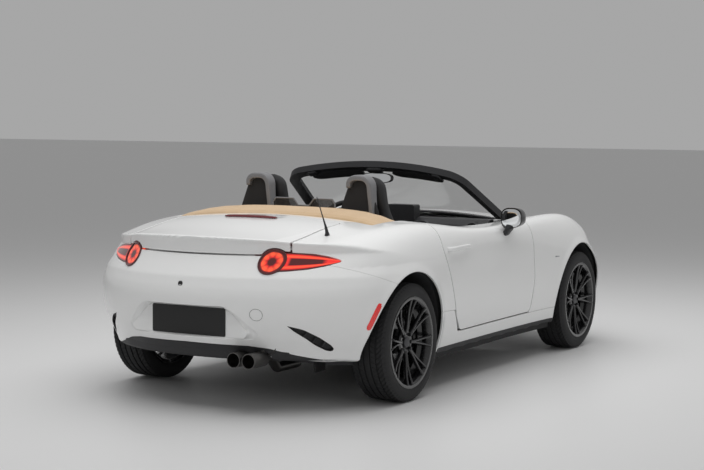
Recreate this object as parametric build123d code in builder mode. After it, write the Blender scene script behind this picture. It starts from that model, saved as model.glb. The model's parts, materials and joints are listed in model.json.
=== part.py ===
"""Two-seat roadster with its soft top folded: an open body of separate panels on four wheels.

Frame: +X forward, +Y to the left, +Z up, origin on the ground under the middle of the car. Millimetres.
"""
import math
import os

from build123d import *

os.makedirs("parts", exist_ok=True)

# ---------------------------------------------------------------- driving dimensions
WHEELBASE = 2310
REAR_AXLE_X = -1106
FRONT_AXLE_X = REAR_AXLE_X + WHEELBASE
FRONT_HALF_TRACK = 748
REAR_HALF_TRACK = 752
TYRE_RADIUS = 308
ARCH_RADIUS = 366
SKIN = 24              # thickness of an outer panel with its inner frame
DOOR_DEPTH = 125       # whole door, outer skin to inner trim
SHUT = 7               # gap between a moving panel and its neighbours
JOIN = 0.6             # gap between two fixed panels
SEAT_CLEAR = 0.3       # gap at which a piece rests on what carries it
DOOR_SHELL = 70        # outer part of the door, before its inner trim
DOOR_TRIM_STEP = 14    # how far the inner trim stays back from the edge of the door
INNER_FLOOR = 60       # open underside of the insets
ARCH_WALL_Y = 470      # inner wall of each wheel house
PANEL_CLEAR = 6        # room under a moving panel
DOOR_JAMB_CLEAR = 12   # room between a door and the structure round it
LAMP_DEPTH = 60
# structure
FLOOR_BOTTOM_Z = 165
FLOOR_TOP_Z = 190
JACK_PAD_X = (700, -620)
JACK_PAD_Y = 675
JACK_PAD_Z = 155
CABIN_HALF_WIDTH = 700
CABIN_REAR_X = -745
FIREWALL_X = 545
COWL_HALF_WIDTH = 590
FOOTWELL_FRONT_X = 815
TUNNEL_HALF_WIDTH = 110
TUNNEL_TOP_Z = 430
WELL_FLOOR_Z = 705
BOOT_REAR_X = -1780
BOOT_HALF_WIDTH = 465
BOOT_FLOOR_Z = 455
BAY_REAR_X = 645
BAY_FRONT_X = 1690
BAY_HALF_WIDTH = 440
NOSE_BEAM_X = 1805
REAR_UNDER_Z = 300
FRONT_UNDER_Z = 215
REAR_UNDER_X = REAR_AXLE_X - 330
FRONT_UNDER_X = FRONT_AXLE_X + 330
# windscreen
SCREEN_ANGLE = 27.4    # slope of the glass above the level
SCREEN_BASE_X = 640
SCREEN_BASE_Z = 868
SCREEN_LENGTH = 702    # up the slope, base to top of the header
SCREEN_RADIUS = 2500
SCREEN_FOOT_Y = 705
SCREEN_HEAD_Y = 590
SCREEN_PILLAR = 52
SCREEN_HEADER = 58
SCREEN_FRAME_DEPTH = 40
GLASS_THICKNESS = 6
MIRROR_X = -90
MIRROR_Z = 1113
DEFLECTOR_X = -790
TOP_HALF_WIDTH = 645
PLATE_Z = 452
PLATE_THICKNESS = 3
GRILLE_HALF_WIDTH = 400
GRILLE_BARS = 7
ANTENNA_FOOT = (-1480, -560, 866)
ANTENNA_LENGTH = 200
REFLECTOR = ((-1400, 545), (-1410, 548), (-1470, 470), (-1500, 418), (-1488, 416), (-1440, 470))
REPEATER = ((780, 610), (786, 622), (850, 622), (856, 610))
STOP_LAMP_X = -1322
STOP_LAMP_Z = 952
STOP_LAMP_HALF_WIDTH = 135
MIRROR_INNER_Y = 812
MIRROR_OUTER_Y = 950
# wheels
HUB_RADIUS = 74
HUB_INNER = 22
HUB_FACE = 76
SPOKE_INNER = 46
SPOKE_PAIRS = 8
SPOKE_OUTLINE = ((60, 0.5), (60, 13), (120, 10), (205, 14.5), (212, 14.5), (212, 7.5), (120, 5), (90, 4))
DISC_RADIUS = 140
DISC_THICKNESS = 22
SPINDLE_RADIUS = 24
SPINDLE_REACH = 30
BALL_LOW = -93
BALL_HIGH = 93
CALIPER_RADIUS = 132
# axles and drive
SUBFRAME_Z = 175
SUBFRAME_HEIGHT = 60
SUBFRAME_HALF_WIDTH = 465
SUBFRAME_TOP_Z = (BOOT_FLOOR_Z - 25, 300)
UPPER_ARM_Z = 430
STRUT_X = 60
STRUT_Y = 550
SPRING_RADIUS = 46
KINGPIN_OFFSET = 60
PLATE_THICK = 42
ENGINE_X = (700, 1230)
ENGINE_BOTTOM_Z = 235.3
GEARBOX_X = (100, 700)
SHAFT_Z = 308
DIFF_REACH = REAR_HALF_TRACK - DISC_THICKNESS - 8 - PLATE_THICK - SEAT_CLEAR
DIFF_HEIGHT = 2 * (SHAFT_Z - SUBFRAME_Z - SUBFRAME_HEIGHT - SEAT_CLEAR)
TAILPIPE_END_X = -1915
PIPE_RADIUS = 27
PIPE_Z = 208
PIPE_LOW_Z = 147.5
# cabin
DASH_HALF_WIDTH = 588
DASH_END_Y = 684
VENT_Y = (-500, -170, 170, 540)
BINNACLE_X = 335
WHEEL_SEAT_Y = 340     # driver's centre line
STEERING_CENTRE = (235, 340, 775)
STEERING_AXIS = (0.92, 0, -0.39)
STEERING_RADIUS = 168
RIM_GRIP = 15
COLUMN_GAP = 60
SEAT_Y = 345
SEAT_HALF_WIDTH = 230
HOOP_X = -750
HOOP_Y = 325
HOOP_TOP_Z = 1140
HOOP_FOOT_Z = 965
DOOR_TOP_Y = 692       # inner edge of the door's top
WELL_REAR_X = -1150    # well that takes the folded top
WELL_HALF_WIDTH = 655
PLATE_X = -1880        # face that the number plate rests on
POCKET_WALL = 12
TAILPIPE_Y = (-289, -376)
TAILPIPE_Z = 275
TAILPIPE_RADIUS = 38
MOUTH_Z = 335          # air intake in the nose
MOUTH_HEIGHT = 190
MOUTH_HALF_WIDTH = 420
HEADLAMP_INNER_Y = 440
HEADLAMP = ((-440, 592), (-462, 572), (-640, 590), (-742, 640), (-705, 672), (-560, 640))
NOSE_X = 1957.5
TAIL_X = -1957.5
NOSE_PLAN_RADIUS = 1350
TAIL_PLAN_RADIUS = 1300

# Half cross-sections of the outer body, one row per station along the car.
COLUMNS = ("x", "y_low", "z_low", "y_wide", "z_wide", "y_crest", "z_crest", "y_valley", "z_valley", "z_top")
STATIONS = (
    (-2010, 650, 310, 760, 620, 520, 812, 380, 846, 858),
    (-1650, 745, 290, 822, 620, 590, 838, 430, 868, 893),
    (-1350, 800, 250, 858, 610, 655, 876, 490, 905, 932),
    (-1106, 812, 225, 867, 600, 690, 897, 530, 918, 945),
    (-800, 800, 205, 860, 590, 712, 903, 570, 915, 935),
    (-400, 790, 200, 845, 600, 765, 862, 640, 866, 880),
    (100, 785, 200, 838, 600, 772, 845, 640, 850, 870),
    (600, 790, 200, 843, 590, 738, 858, 590, 845, 880),
    (950, 805, 205, 858, 580, 715, 862, 560, 828, 866),
    (1204, 810, 210, 862, 570, 700, 838, 550, 798, 832),
    (1500, 790, 215, 845, 540, 662, 755, 520, 732, 768),
    (1750, 740, 190, 800, 510, 600, 670, 470, 665, 700),
    (2010, 640, 180, 700, 480, 470, 560, 370, 560, 580),
)
# Side profile of the tail and of the nose: distance in from the end of the car, and height.
TAIL_PROFILE = ((70, 1000), (87, 874), (105, 833), (106, 790), (22, 678), (0, 600), (6, 500), (36, 380), (70, 300), (110, 100))
NOSE_PROFILE = ((150, 1000), (140, 655), (40, 560), (0, 470), (8, 330), (50, 210), (90, 100))


# ---------------------------------------------------------------- outer form
def joint_of_two_arcs(start, start_way, end, end_way):
    """The point where two arcs meet that leave start and reach end with the given directions."""
    chord = end - start
    a = 2 * (1 - start_way.dot(end_way))
    b = 2 * chord.dot(start_way + end_way)
    c = -chord.dot(chord)
    reach = (-b + math.sqrt(b * b - 4 * a * c)) / (2 * a)
    return (start + start_way * reach + end - end_way * reach) * 0.5


def cross_section(station, inset, floor):
    """Right half of one station of the body, taken in by inset and closed along the bottom at floor."""
    s = dict(zip(COLUMNS, station))
    low = Vector(s["y_low"] - inset, s["z_low"] if floor is None else floor)
    wide = Vector(s["y_wide"] - inset, s["z_wide"])
    crest = Vector(s["y_crest"] - 0.6 * inset, s["z_crest"] - inset)
    valley = Vector(s["y_valley"] - 0.2 * inset, s["z_valley"] - inset)
    top = Vector(0, s["z_top"] - inset)
    inward = (valley - crest).normalized()
    shoulder = joint_of_two_arcs(wide, Vector(0, 1), crest, inward)
    with BuildSketch(Plane.YZ.offset(s["x"])) as sketch:
        with BuildLine():
            TangentArc((-wide.X, wide.Y), (-low.X, low.Y), tangent=(0, -1))
            TangentArc((-wide.X, wide.Y), (-shoulder.X, shoulder.Y), tangent=(0, 1))
            TangentArc((-crest.X, crest.Y), (-shoulder.X, shoulder.Y), tangent=(inward.X, -inward.Y))
            Line((-crest.X, crest.Y), (-valley.X, valley.Y))
            TangentArc((0, top.Y), (-valley.X, valley.Y), tangent=(-1, 0))
            Polyline((-low.X, low.Y), (0, low.Y), (0, top.Y))
        make_face()
    return sketch.sketch


def hull(inset=0.0, floor=None):
    """Right half of the closed form through all stations, before its ends are rounded off."""
    with BuildPart() as form:
        for station in STATIONS:
            add(cross_section(station, inset, floor))
        loft()
    return form.part


def end_cutter(end_x, plan_radius, profile, inset):
    """What lies beyond a rounded end of the car: a block less the profile turned about an upright axis."""
    way = 1 if end_x > 0 else -1
    axis_x = end_x - way * plan_radius
    rim = [(plan_radius - back - inset, z) for back, z in profile]
    with BuildPart() as rounded:
        with BuildSketch(Plane.XZ.move(Location((axis_x, 0, 0)))):
            with BuildLine():
                Polyline((0, rim[0][1]), *rim, (0, rim[-1][1]), close=True)
            make_face()
        revolve(axis=Axis((axis_x, 0, 0), (0, 0, 1)))
    with BuildPart() as cutter:
        with BuildSketch(Plane.XY.offset(rim[-1][1] + 1)):
            with Locations((axis_x + way * 900, 0)):
                Rectangle(1800, 2400)
        extrude(amount=rim[0][1] - rim[-1][1] - 2)
        add(rounded.part, mode=Mode.SUBTRACT)
    return cutter.part


def rounded(form_part, inset=0.0):
    """A closed form with the car's rounded tail and nose cut on its ends."""
    with BuildPart() as form:
        add(form_part)
        add(end_cutter(TAIL_X, TAIL_PLAN_RADIUS, TAIL_PROFILE, inset), mode=Mode.SUBTRACT)
        add(end_cutter(NOSE_X, NOSE_PLAN_RADIUS, NOSE_PROFILE, inset), mode=Mode.SUBTRACT)
    return form.part


HULL = hull()
HULL_INNER = hull(SKIN, INNER_FLOOR)
OUTER = rounded(HULL)
INNER = rounded(HULL_INNER, SKIN)


def skin_in(region):
    """The stretch of outer panel, one skin thick, that lies inside region."""
    with BuildPart() as panel:
        add(region)
        add(OUTER, mode=Mode.INTERSECT)
        add(INNER, mode=Mode.SUBTRACT)
    return panel.part


# ---------------------------------------------------------------- regions cut by the shut lines
def side_block(points, grow=0.0, inner=400.0, outer=1000.0, rounds=()):
    """Prism of a side-view outline over the right flank, from inner to outer off the centre plane."""
    with BuildPart() as block:
        with BuildSketch(Plane.XZ.offset(inner)) as sketch:
            with BuildLine():
                Polyline(*points, close=True)
            make_face()
            for (x, z), radius in rounds:
                fillet(sketch.vertices().sort_by_distance((x, z))[0], radius)
            if grow:
                offset(amount=grow, kind=Kind.INTERSECTION)
        extrude(amount=outer - inner)
    return block.part


def plan_block(points, grow, z_from, z_to):
    """Prism of a plan-view outline that is the same on both sides of the car."""
    mirrored = [(x, -y) for x, y in reversed(points) if y]
    with BuildPart() as block:
        with BuildSketch(Plane.XY.offset(z_from)):
            with BuildLine():
                Polyline(*points, *mirrored, close=True)
            make_face()
            if grow:
                offset(amount=grow, kind=Kind.INTERSECTION)
        extrude(amount=z_to - z_from)
    return block.part


def rear_block(points, x_from, x_to, grow=0.0):
    """Prism along the car of an end-view outline of y and z."""
    with BuildPart() as block:
        with BuildSketch(Plane.YZ.offset(x_from)):
            with BuildLine():
                Polyline(*points, close=True)
            make_face()
            if grow:
                offset(amount=grow, kind=Kind.INTERSECTION)
        extrude(amount=x_to - x_from)
    return block.part


DOOR_OUTLINE = ((-742, 1000), (-739, 762), (-545, 378), (-470, 300), (488, 303), (504, 500), (474, 700), (415, 1000))
DOOR_ROUNDS = (((-739, 762), 100), ((-545, 378), 45), ((-470, 300), 45), ((488, 303), 30))
HOOD_OUTLINE = ((668, 0), (655, 200), (630, 430), (606, 592), (950, 560), (1204, 550), (1500, 520), (1750, 470),
                (1822, 420), (1850, 200), (1858, 0))
LID_OUTLINE = ((-1235, 0), (-1235, 492), (-1700, 488), (-1760, 485), (-2000, 485), (-2000, 0))
LID_EDGE_Z = 788
LAMP_CENTRE = (421, 754)
LAMP_RADIUS = 70
LAMP_TIP = (742, 761)
SILL_TOP_Z = 296


def door_block(grow=0.0, inner=400.0):
    return side_block(DOOR_OUTLINE, grow, inner, 1000, DOOR_ROUNDS)


def hood_block(grow=0.0):
    return plan_block(HOOD_OUTLINE, grow, 450, 1000)


def lamp_block(grow=0.0):
    """Rear-view outline of the right tail lamp: a round with a pointed tail towards the flank."""
    y, z = LAMP_CENTRE
    with BuildPart() as block:
        with BuildSketch(Plane.YZ.offset(-2100)):
            with Locations((-y, z)):
                Circle(LAMP_RADIUS)
            with BuildLine():
                ThreePointArc((-y - 20, z + 52), (-610, z + 44), (-LAMP_TIP[0], LAMP_TIP[1] + 4))
                Line((-LAMP_TIP[0], LAMP_TIP[1] + 4), (-LAMP_TIP[0], LAMP_TIP[1] - 4))
                ThreePointArc((-LAMP_TIP[0], LAMP_TIP[1] - 4), (-610, z - 36), (-y - 20, z - 50))
                Line((-y - 20, z - 50), (-y - 20, z + 52))
            make_face()
            if grow:
                offset(amount=grow, kind=Kind.INTERSECTION)
        extrude(amount=560)
    return block.part


def lid_block(grow=0.0):
    with BuildPart() as block:
        add(plan_block(LID_OUTLINE, grow, LID_EDGE_Z - grow, 1100))
    return block.part


def arch(axle_x, inner):
    """Round wheel opening in the right flank, from inner off the centre plane outwards."""
    with BuildPart() as opening:
        with BuildSketch(Plane.XZ.offset(inner)):
            with Locations((axle_x, TYRE_RADIUS)):
                Circle(ARCH_RADIUS)
        extrude(amount=1000 - inner)
    return opening.part


def box(x0, x1, y0, y1, z0, z1):
    """Plain block between two corners."""
    with BuildPart() as block:
        with BuildSketch(Plane.XY.offset(z0)):
            with Locations(((x0 + x1) / 2, (y0 + y1) / 2)):
                Rectangle(x1 - x0, y1 - y0)
        extrude(amount=z1 - z0)
    return block.part


with BuildPart() as arches:
    add(arch(FRONT_AXLE_X, ARCH_WALL_Y))
    add(arch(REAR_AXLE_X, ARCH_WALL_Y))
ARCHES = arches.part
LAMP_HOLE = lamp_block(JOIN)

# ---------------------------------------------------------------- hood
with BuildPart() as hood:
    add(skin_in(hood_block()))
    mirror(about=Plane.XZ)
hood.part.label = "hood"
export_step(hood.part, "parts/hood.step")

# ---------------------------------------------------------------- boot lid
with BuildPart() as trunk_lid:
    add(skin_in(lid_block()))
    add(lamp_block(SHUT), mode=Mode.SUBTRACT)
    mirror(about=Plane.XZ)
trunk_lid.part.label = "trunk_lid"
export_step(trunk_lid.part, "parts/trunk_lid.step")

# ---------------------------------------------------------------- doors
DOOR_INNER = hull(DOOR_DEPTH, INNER_FLOOR)
DOOR_SPLIT = hull(DOOR_SHELL, INNER_FLOOR)
with BuildPart() as door_right:
    add(door_block(0, DOOR_TOP_Y))
    add(HULL, mode=Mode.INTERSECT)
    add(DOOR_SPLIT, mode=Mode.SUBTRACT)
with BuildPart() as door_trim_right:
    add(door_block(-DOOR_TRIM_STEP, DOOR_TOP_Y))
    add(hull(DOOR_SHELL + SEAT_CLEAR, INNER_FLOOR), mode=Mode.INTERSECT)
    add(DOOR_INNER, mode=Mode.SUBTRACT)
for side, turn in (("right", False), ("left", True)):
    for name, piece in (("door", door_right), ("door_trim", door_trim_right)):
        one = mirror(piece.part, about=Plane.XZ) if turn else piece.part
        one.label = f"{name}_{side}"
        export_step(one, f"parts/{name}_{side}.step")

# ---------------------------------------------------------------- fixed body panels
with BuildPart() as front_wings:
    add(side_block(((440, 1000), (430, SILL_TOP_Z + JOIN), (1474, SILL_TOP_Z + JOIN), (1500, 500), (1560, 600),
                    (1650, 625), (1900, 625), (1900, 1000)), inner=HEADLAMP_INNER_Y + JOIN))
    add(door_block(SHUT), mode=Mode.SUBTRACT)
    add(hood_block(SHUT), mode=Mode.SUBTRACT)
    add(box(300, 680, -COWL_HALF_WIDTH - JOIN, 0, 500, 1100), mode=Mode.SUBTRACT)
    add(rear_block(HEADLAMP, 1500, 2100, JOIN), mode=Mode.SUBTRACT)
    add(OUTER, mode=Mode.INTERSECT)
    add(INNER, mode=Mode.SUBTRACT)
    add(ARCHES, mode=Mode.SUBTRACT)
    mirror(about=Plane.XZ)
front_wings.part.label = "front_wings"
export_step(front_wings.part, "parts/front_wings.step")

with BuildPart() as sills:
    add(side_block(((-800, 205), (900, 205), (900, SILL_TOP_Z), (-500, SILL_TOP_Z), (-590, 423), (-800, 431))))
    add(door_block(SHUT), mode=Mode.SUBTRACT)
    add(HULL, mode=Mode.INTERSECT)
    add(hull(SKIN + PANEL_CLEAR - SEAT_CLEAR, INNER_FLOOR), mode=Mode.SUBTRACT)
    add(ARCHES, mode=Mode.SUBTRACT)
    mirror(about=Plane.XZ)
sills.part.label = "sills"
export_step(sills.part, "parts/sills.step")

with BuildPart() as rear_quarters:
    add(side_block(((-560, 423), (-800, 431.5), (-1150, 581), (-1387, 660), (-1686, 760), (-2100, 760), (-2100, 1100),
                    (-560, 1100)), inner=-10))
    add(door_block(SHUT), mode=Mode.SUBTRACT)
    add(lid_block(SHUT), mode=Mode.SUBTRACT)
    add(box(-2100, -1700, -LID_OUTLINE[3][1], LID_OUTLINE[3][1], 700, 800), mode=Mode.SUBTRACT)
    add(box(WELL_REAR_X, -400, -WELL_HALF_WIDTH, WELL_HALF_WIDTH, 600, 1100), mode=Mode.SUBTRACT)
    add(LAMP_HOLE, mode=Mode.SUBTRACT)
    add(OUTER, mode=Mode.INTERSECT)
    add(INNER, mode=Mode.SUBTRACT)
    add(ARCHES, mode=Mode.SUBTRACT)
    mirror(about=Plane.XZ)
rear_quarters.part.label = "rear_quarters"
export_step(rear_quarters.part, "parts/rear_quarters.step")

VALANCE = ((10, 345), (-605, 320), (-800, 258), (-1000, 232), (-1000, 100), (10, 100))
PLATE_POCKET = ((10, 537), (-238, 537), (-300, 500), (-407, 410), (-380, 374), (10, 374))
PLATE_POCKET_WIDE = ((0, 549), (-244, 549), (-308, 510), (-424, 408), (-388, 362), (0, 362))
DUCT = ((-548, 449), (-560, 426), (-742, 352), (-757, 366), (-720, 400))
with BuildPart() as rear_bumper:
    add(side_block(((-1150, 100), (-1150, 581 - JOIN), (-1387, 660 - JOIN), (-1686, 760 - JOIN), (-2100, 760 - JOIN),
                    (-2100, 100)), inner=-10))
    add(box(-2100, -1700, -LAMP_CENTRE[0], LAMP_CENTRE[0], 700, LID_EDGE_Z - SHUT))
    add(rear_block(VALANCE, -2100, -1300), mode=Mode.SUBTRACT)
    add(LAMP_HOLE, mode=Mode.SUBTRACT)
    add(OUTER, mode=Mode.INTERSECT)
    add(INNER, mode=Mode.SUBTRACT)
    add(ARCHES, mode=Mode.SUBTRACT)
    add(rear_block(PLATE_POCKET, -2100, PLATE_X), mode=Mode.SUBTRACT)
    add(rear_block(PLATE_POCKET_WIDE, PLATE_X, PLATE_X + POCKET_WALL))
    add(rear_block(DUCT, -2100, -1600), mode=Mode.SUBTRACT)
    mirror(about=Plane.XZ)
rear_bumper.part.label = "rear_bumper"
export_step(rear_bumper.part, "parts/rear_bumper.step")

with BuildPart() as rear_valance:
    add(rear_block(VALANCE, -2100, -1560, -JOIN))
    add(OUTER, mode=Mode.INTERSECT)
    add(INNER, mode=Mode.SUBTRACT)
    mirror(about=Plane.XZ)
    with BuildSketch(Plane.YZ.offset(-2100)):
        for y in TAILPIPE_Y:
            with Locations((y, TAILPIPE_Z)):
                Circle(TAILPIPE_RADIUS + 12)
    extrude(amount=400, mode=Mode.SUBTRACT)
rear_valance.part.label = "rear_valance"
export_step(rear_valance.part, "parts/rear_valance.step")

with BuildPart() as front_bumper:
    add(side_block(((1475, 100), (1474 + JOIN, SILL_TOP_Z), (1500 + JOIN, 500), (1560 + JOIN, 600 - JOIN),
                    (1650, 625 - JOIN), (2100, 625 - JOIN), (2100, 100)), inner=-10))
    add(box(1700, 2100, -HEADLAMP_INNER_Y, 10, 600, 1000))
    add(hood_block(SHUT), mode=Mode.SUBTRACT)
    add(OUTER, mode=Mode.INTERSECT)
    add(INNER, mode=Mode.SUBTRACT)
    add(ARCHES, mode=Mode.SUBTRACT)
    with BuildSketch(Plane.YZ.offset(1700)) as mouth:
        with Locations((0, MOUTH_Z)):
            Trapezoid(2 * MOUTH_HALF_WIDTH, MOUTH_HEIGHT, 62, 62, rotation=180)
        fillet(mouth.vertices(), 55)
    extrude(amount=400, mode=Mode.SUBTRACT)
    add(rear_block(HEADLAMP, 1500, 2100, JOIN), mode=Mode.SUBTRACT)
    mirror(about=Plane.XZ)
front_bumper.part.label = "front_bumper"
export_step(front_bumper.part, "parts/front_bumper.step")

with BuildPart() as headlamps:
    add(rear_block(HEADLAMP, 1500, 2100))
    add(OUTER, mode=Mode.INTERSECT)
    with BuildSketch(Plane.XY.offset(500)):
        with Locations((NOSE_X - NOSE_PLAN_RADIUS, 0)):
            Circle(NOSE_PLAN_RADIUS - NOSE_PROFILE[1][0] - LAMP_DEPTH)
    extrude(amount=300, mode=Mode.SUBTRACT)
    add(hood_block(SHUT), mode=Mode.SUBTRACT)
    mirror(about=Plane.XZ)
headlamps.part.label = "headlamps"
export_step(headlamps.part, "parts/headlamps.step")

with BuildPart() as tail_lamps:
    add(lamp_block())
    add(OUTER, mode=Mode.INTERSECT)
    with BuildSketch(Plane.XY.offset(600)):
        with Locations((TAIL_X + TAIL_PLAN_RADIUS, 0)):
            Circle(TAIL_PLAN_RADIUS - TAIL_PROFILE[3][0] - LAMP_DEPTH)
    extrude(amount=300, mode=Mode.SUBTRACT)
    mirror(about=Plane.XZ)
tail_lamps.part.label = "tail_lamps"
export_step(tail_lamps.part, "parts/tail_lamps.step")

with BuildPart() as cowl:
    add(plan_block(((FIREWALL_X, 0), (FIREWALL_X, COWL_HALF_WIDTH), (HOOD_OUTLINE[3][0] - SHUT, COWL_HALF_WIDTH),
                    (HOOD_OUTLINE[2][0] - SHUT, 430), (HOOD_OUTLINE[1][0] - SHUT, 200),
                    (HOOD_OUTLINE[0][0] - SHUT, 0)), 0, 600, 1000))
    add(HULL, mode=Mode.INTERSECT)
    add(HULL_INNER, mode=Mode.SUBTRACT)
    mirror(about=Plane.XZ)
cowl.part.label = "cowl"
export_step(cowl.part, "parts/cowl.step")

# ---------------------------------------------------------------- body structure
with BuildPart() as body_tub:
    add(rounded(hull(SKIN + PANEL_CLEAR, FLOOR_BOTTOM_Z), SKIN + PANEL_CLEAR))
    # under the overhangs
    add(box(-2100, REAR_UNDER_X, -1000, 1000, 100, REAR_UNDER_Z), mode=Mode.SUBTRACT)
    add(box(FRONT_UNDER_X, 2100, -1000, 1000, 100, FRONT_UNDER_Z), mode=Mode.SUBTRACT)
    add(box(NOSE_BEAM_X, 2100, -1000, 1000, 100, 1000), mode=Mode.SUBTRACT)
    add(ARCHES, mode=Mode.SUBTRACT)
    # cabin, soft top well, boot and engine bay
    add(box(CABIN_REAR_X, FIREWALL_X, -CABIN_HALF_WIDTH, CABIN_HALF_WIDTH, TUNNEL_TOP_Z, 1100), mode=Mode.SUBTRACT)
    for side in (1, -1):
        edges = sorted((side * TUNNEL_HALF_WIDTH, side * CABIN_HALF_WIDTH))
        add(box(CABIN_REAR_X, FIREWALL_X, *edges, FLOOR_TOP_Z, 1100), mode=Mode.SUBTRACT)
        edges = sorted((side * (TUNNEL_HALF_WIDTH + 20), side * (ARCH_WALL_Y - 30)))
        add(box(500, FOOTWELL_FRONT_X, *edges, FLOOR_TOP_Z, 560), mode=Mode.SUBTRACT)
    add(box(WELL_REAR_X, CABIN_REAR_X + 1, -WELL_HALF_WIDTH, WELL_HALF_WIDTH, WELL_FLOOR_Z, 1100),
        mode=Mode.SUBTRACT)
    add(box(BOOT_REAR_X, LID_OUTLINE[0][0] - 12, -BOOT_HALF_WIDTH, BOOT_HALF_WIDTH, BOOT_FLOOR_Z, 1100),
        mode=Mode.SUBTRACT)
    add(box(BAY_REAR_X, BAY_FRONT_X, -BAY_HALF_WIDTH, BAY_HALF_WIDTH, 100, 1100), mode=Mode.SUBTRACT)
    # tunnel, axle spaces and the room for the silencer
    add(box(-900, BAY_REAR_X + 1, 30 - TUNNEL_HALF_WIDTH, TUNNEL_HALF_WIDTH - 30, 100, TUNNEL_TOP_Z - 30),
        mode=Mode.SUBTRACT)
    add(box(REAR_AXLE_X - 230, REAR_AXLE_X + 230, -ARCH_WALL_Y - 1, ARCH_WALL_Y + 1, 100, BOOT_FLOOR_Z - 25),
        mode=Mode.SUBTRACT)
    add(box(FRONT_AXLE_X - 170, FRONT_AXLE_X + 170, -ARCH_WALL_Y - 1, ARCH_WALL_Y + 1, 100, 300),
        mode=Mode.SUBTRACT)
    add(box(-2100, REAR_AXLE_X - 229, -460, 460, 100, BOOT_FLOOR_Z - 25), mode=Mode.SUBTRACT)
    # jacking pads under the floor
    for x in JACK_PAD_X:
        add(box(x - 50, x + 50, -JACK_PAD_Y - 30, 30 - JACK_PAD_Y, JACK_PAD_Z, FLOOR_TOP_Z))
    # door openings
    add(door_block(DOOR_JAMB_CLEAR, CABIN_HALF_WIDTH - 60), mode=Mode.SUBTRACT)
    # room behind the lamps and the pocket of the plate
    add(LAMP_HOLE, mode=Mode.SUBTRACT)
    add(rear_block(PLATE_POCKET, -2100, PLATE_X + POCKET_WALL + SEAT_CLEAR, POCKET_WALL + 6), mode=Mode.SUBTRACT)
    add(rear_block(HEADLAMP, 1500, 2100, JOIN), mode=Mode.SUBTRACT)
    mirror(about=Plane.XZ)
body_tub.part.label = "body_tub"
export_step(body_tub.part, "parts/body_tub.step")

# ---------------------------------------------------------------- windscreen
slope = Vector(-math.cos(math.radians(SCREEN_ANGLE)), 0, math.sin(math.radians(SCREEN_ANGLE)))
normal = Vector(math.sin(math.radians(SCREEN_ANGLE)), 0, math.cos(math.radians(SCREEN_ANGLE)))
SCREEN = Plane(origin=(SCREEN_BASE_X, 0, SCREEN_BASE_Z), x_dir=(0, 1, 0), z_dir=normal)
ACROSS = Plane(origin=(SCREEN_BASE_X, 0, SCREEN_BASE_Z), x_dir=(0, -1, 0), z_dir=slope)


def screen_layer(top, thickness, side_in, bottom, head_in, round_radius, middle=0):
    """Right half of a curved sheet along the windscreen: top is its height off the glass line."""
    with BuildPart() as sheet:
        with BuildSketch(ACROSS.offset(-80)):
            with Locations((0, top - SCREEN_RADIUS)):
                Circle(SCREEN_RADIUS)
                Circle(SCREEN_RADIUS - thickness, mode=Mode.SUBTRACT)
        extrude(amount=SCREEN_LENGTH + 120)
        with BuildSketch(SCREEN.offset(-260)) as outline:
            with BuildLine():
                Polyline((-SCREEN_FOOT_Y + side_in, bottom), (middle, bottom), (middle, SCREEN_LENGTH - head_in),
                         (-SCREEN_HEAD_Y + side_in, SCREEN_LENGTH - head_in), close=True)
            make_face()
            fillet(outline.vertices().group_by(Axis.Y)[-1].sort_by(Axis.X)[0], round_radius)
        extrude(amount=400, mode=Mode.INTERSECT)
    return sheet.part


HULL_CLEAR = hull(-SEAT_CLEAR)
with BuildPart() as windscreen_frame:
    add(screen_layer(10, SCREEN_FRAME_DEPTH, 0, -30, 0, 110))
    add(screen_layer(50, 200, SCREEN_PILLAR, -50, SCREEN_HEADER, 70, 10), mode=Mode.SUBTRACT)
    add(screen_layer(50, 50 + GLASS_THICKNESS, SCREEN_PILLAR - 14, -50, SCREEN_HEADER - 14, 80, 10),
        mode=Mode.SUBTRACT)
    add(HULL_CLEAR, mode=Mode.SUBTRACT)
    mirror(about=Plane.XZ)
windscreen_frame.part.label = "windscreen_frame"
export_step(windscreen_frame.part, "parts/windscreen_frame.step")

with BuildPart() as windscreen_glass:
    add(screen_layer(0, GLASS_THICKNESS - SEAT_CLEAR, SCREEN_PILLAR - 14 + SEAT_CLEAR, -50,
                     SCREEN_HEADER - 14 + SEAT_CLEAR, 80))
    add(HULL_CLEAR, mode=Mode.SUBTRACT)
    mirror(about=Plane.XZ)
windscreen_glass.part.label = "windscreen_glass"
export_step(windscreen_glass.part, "parts/windscreen_glass.step")

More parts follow.
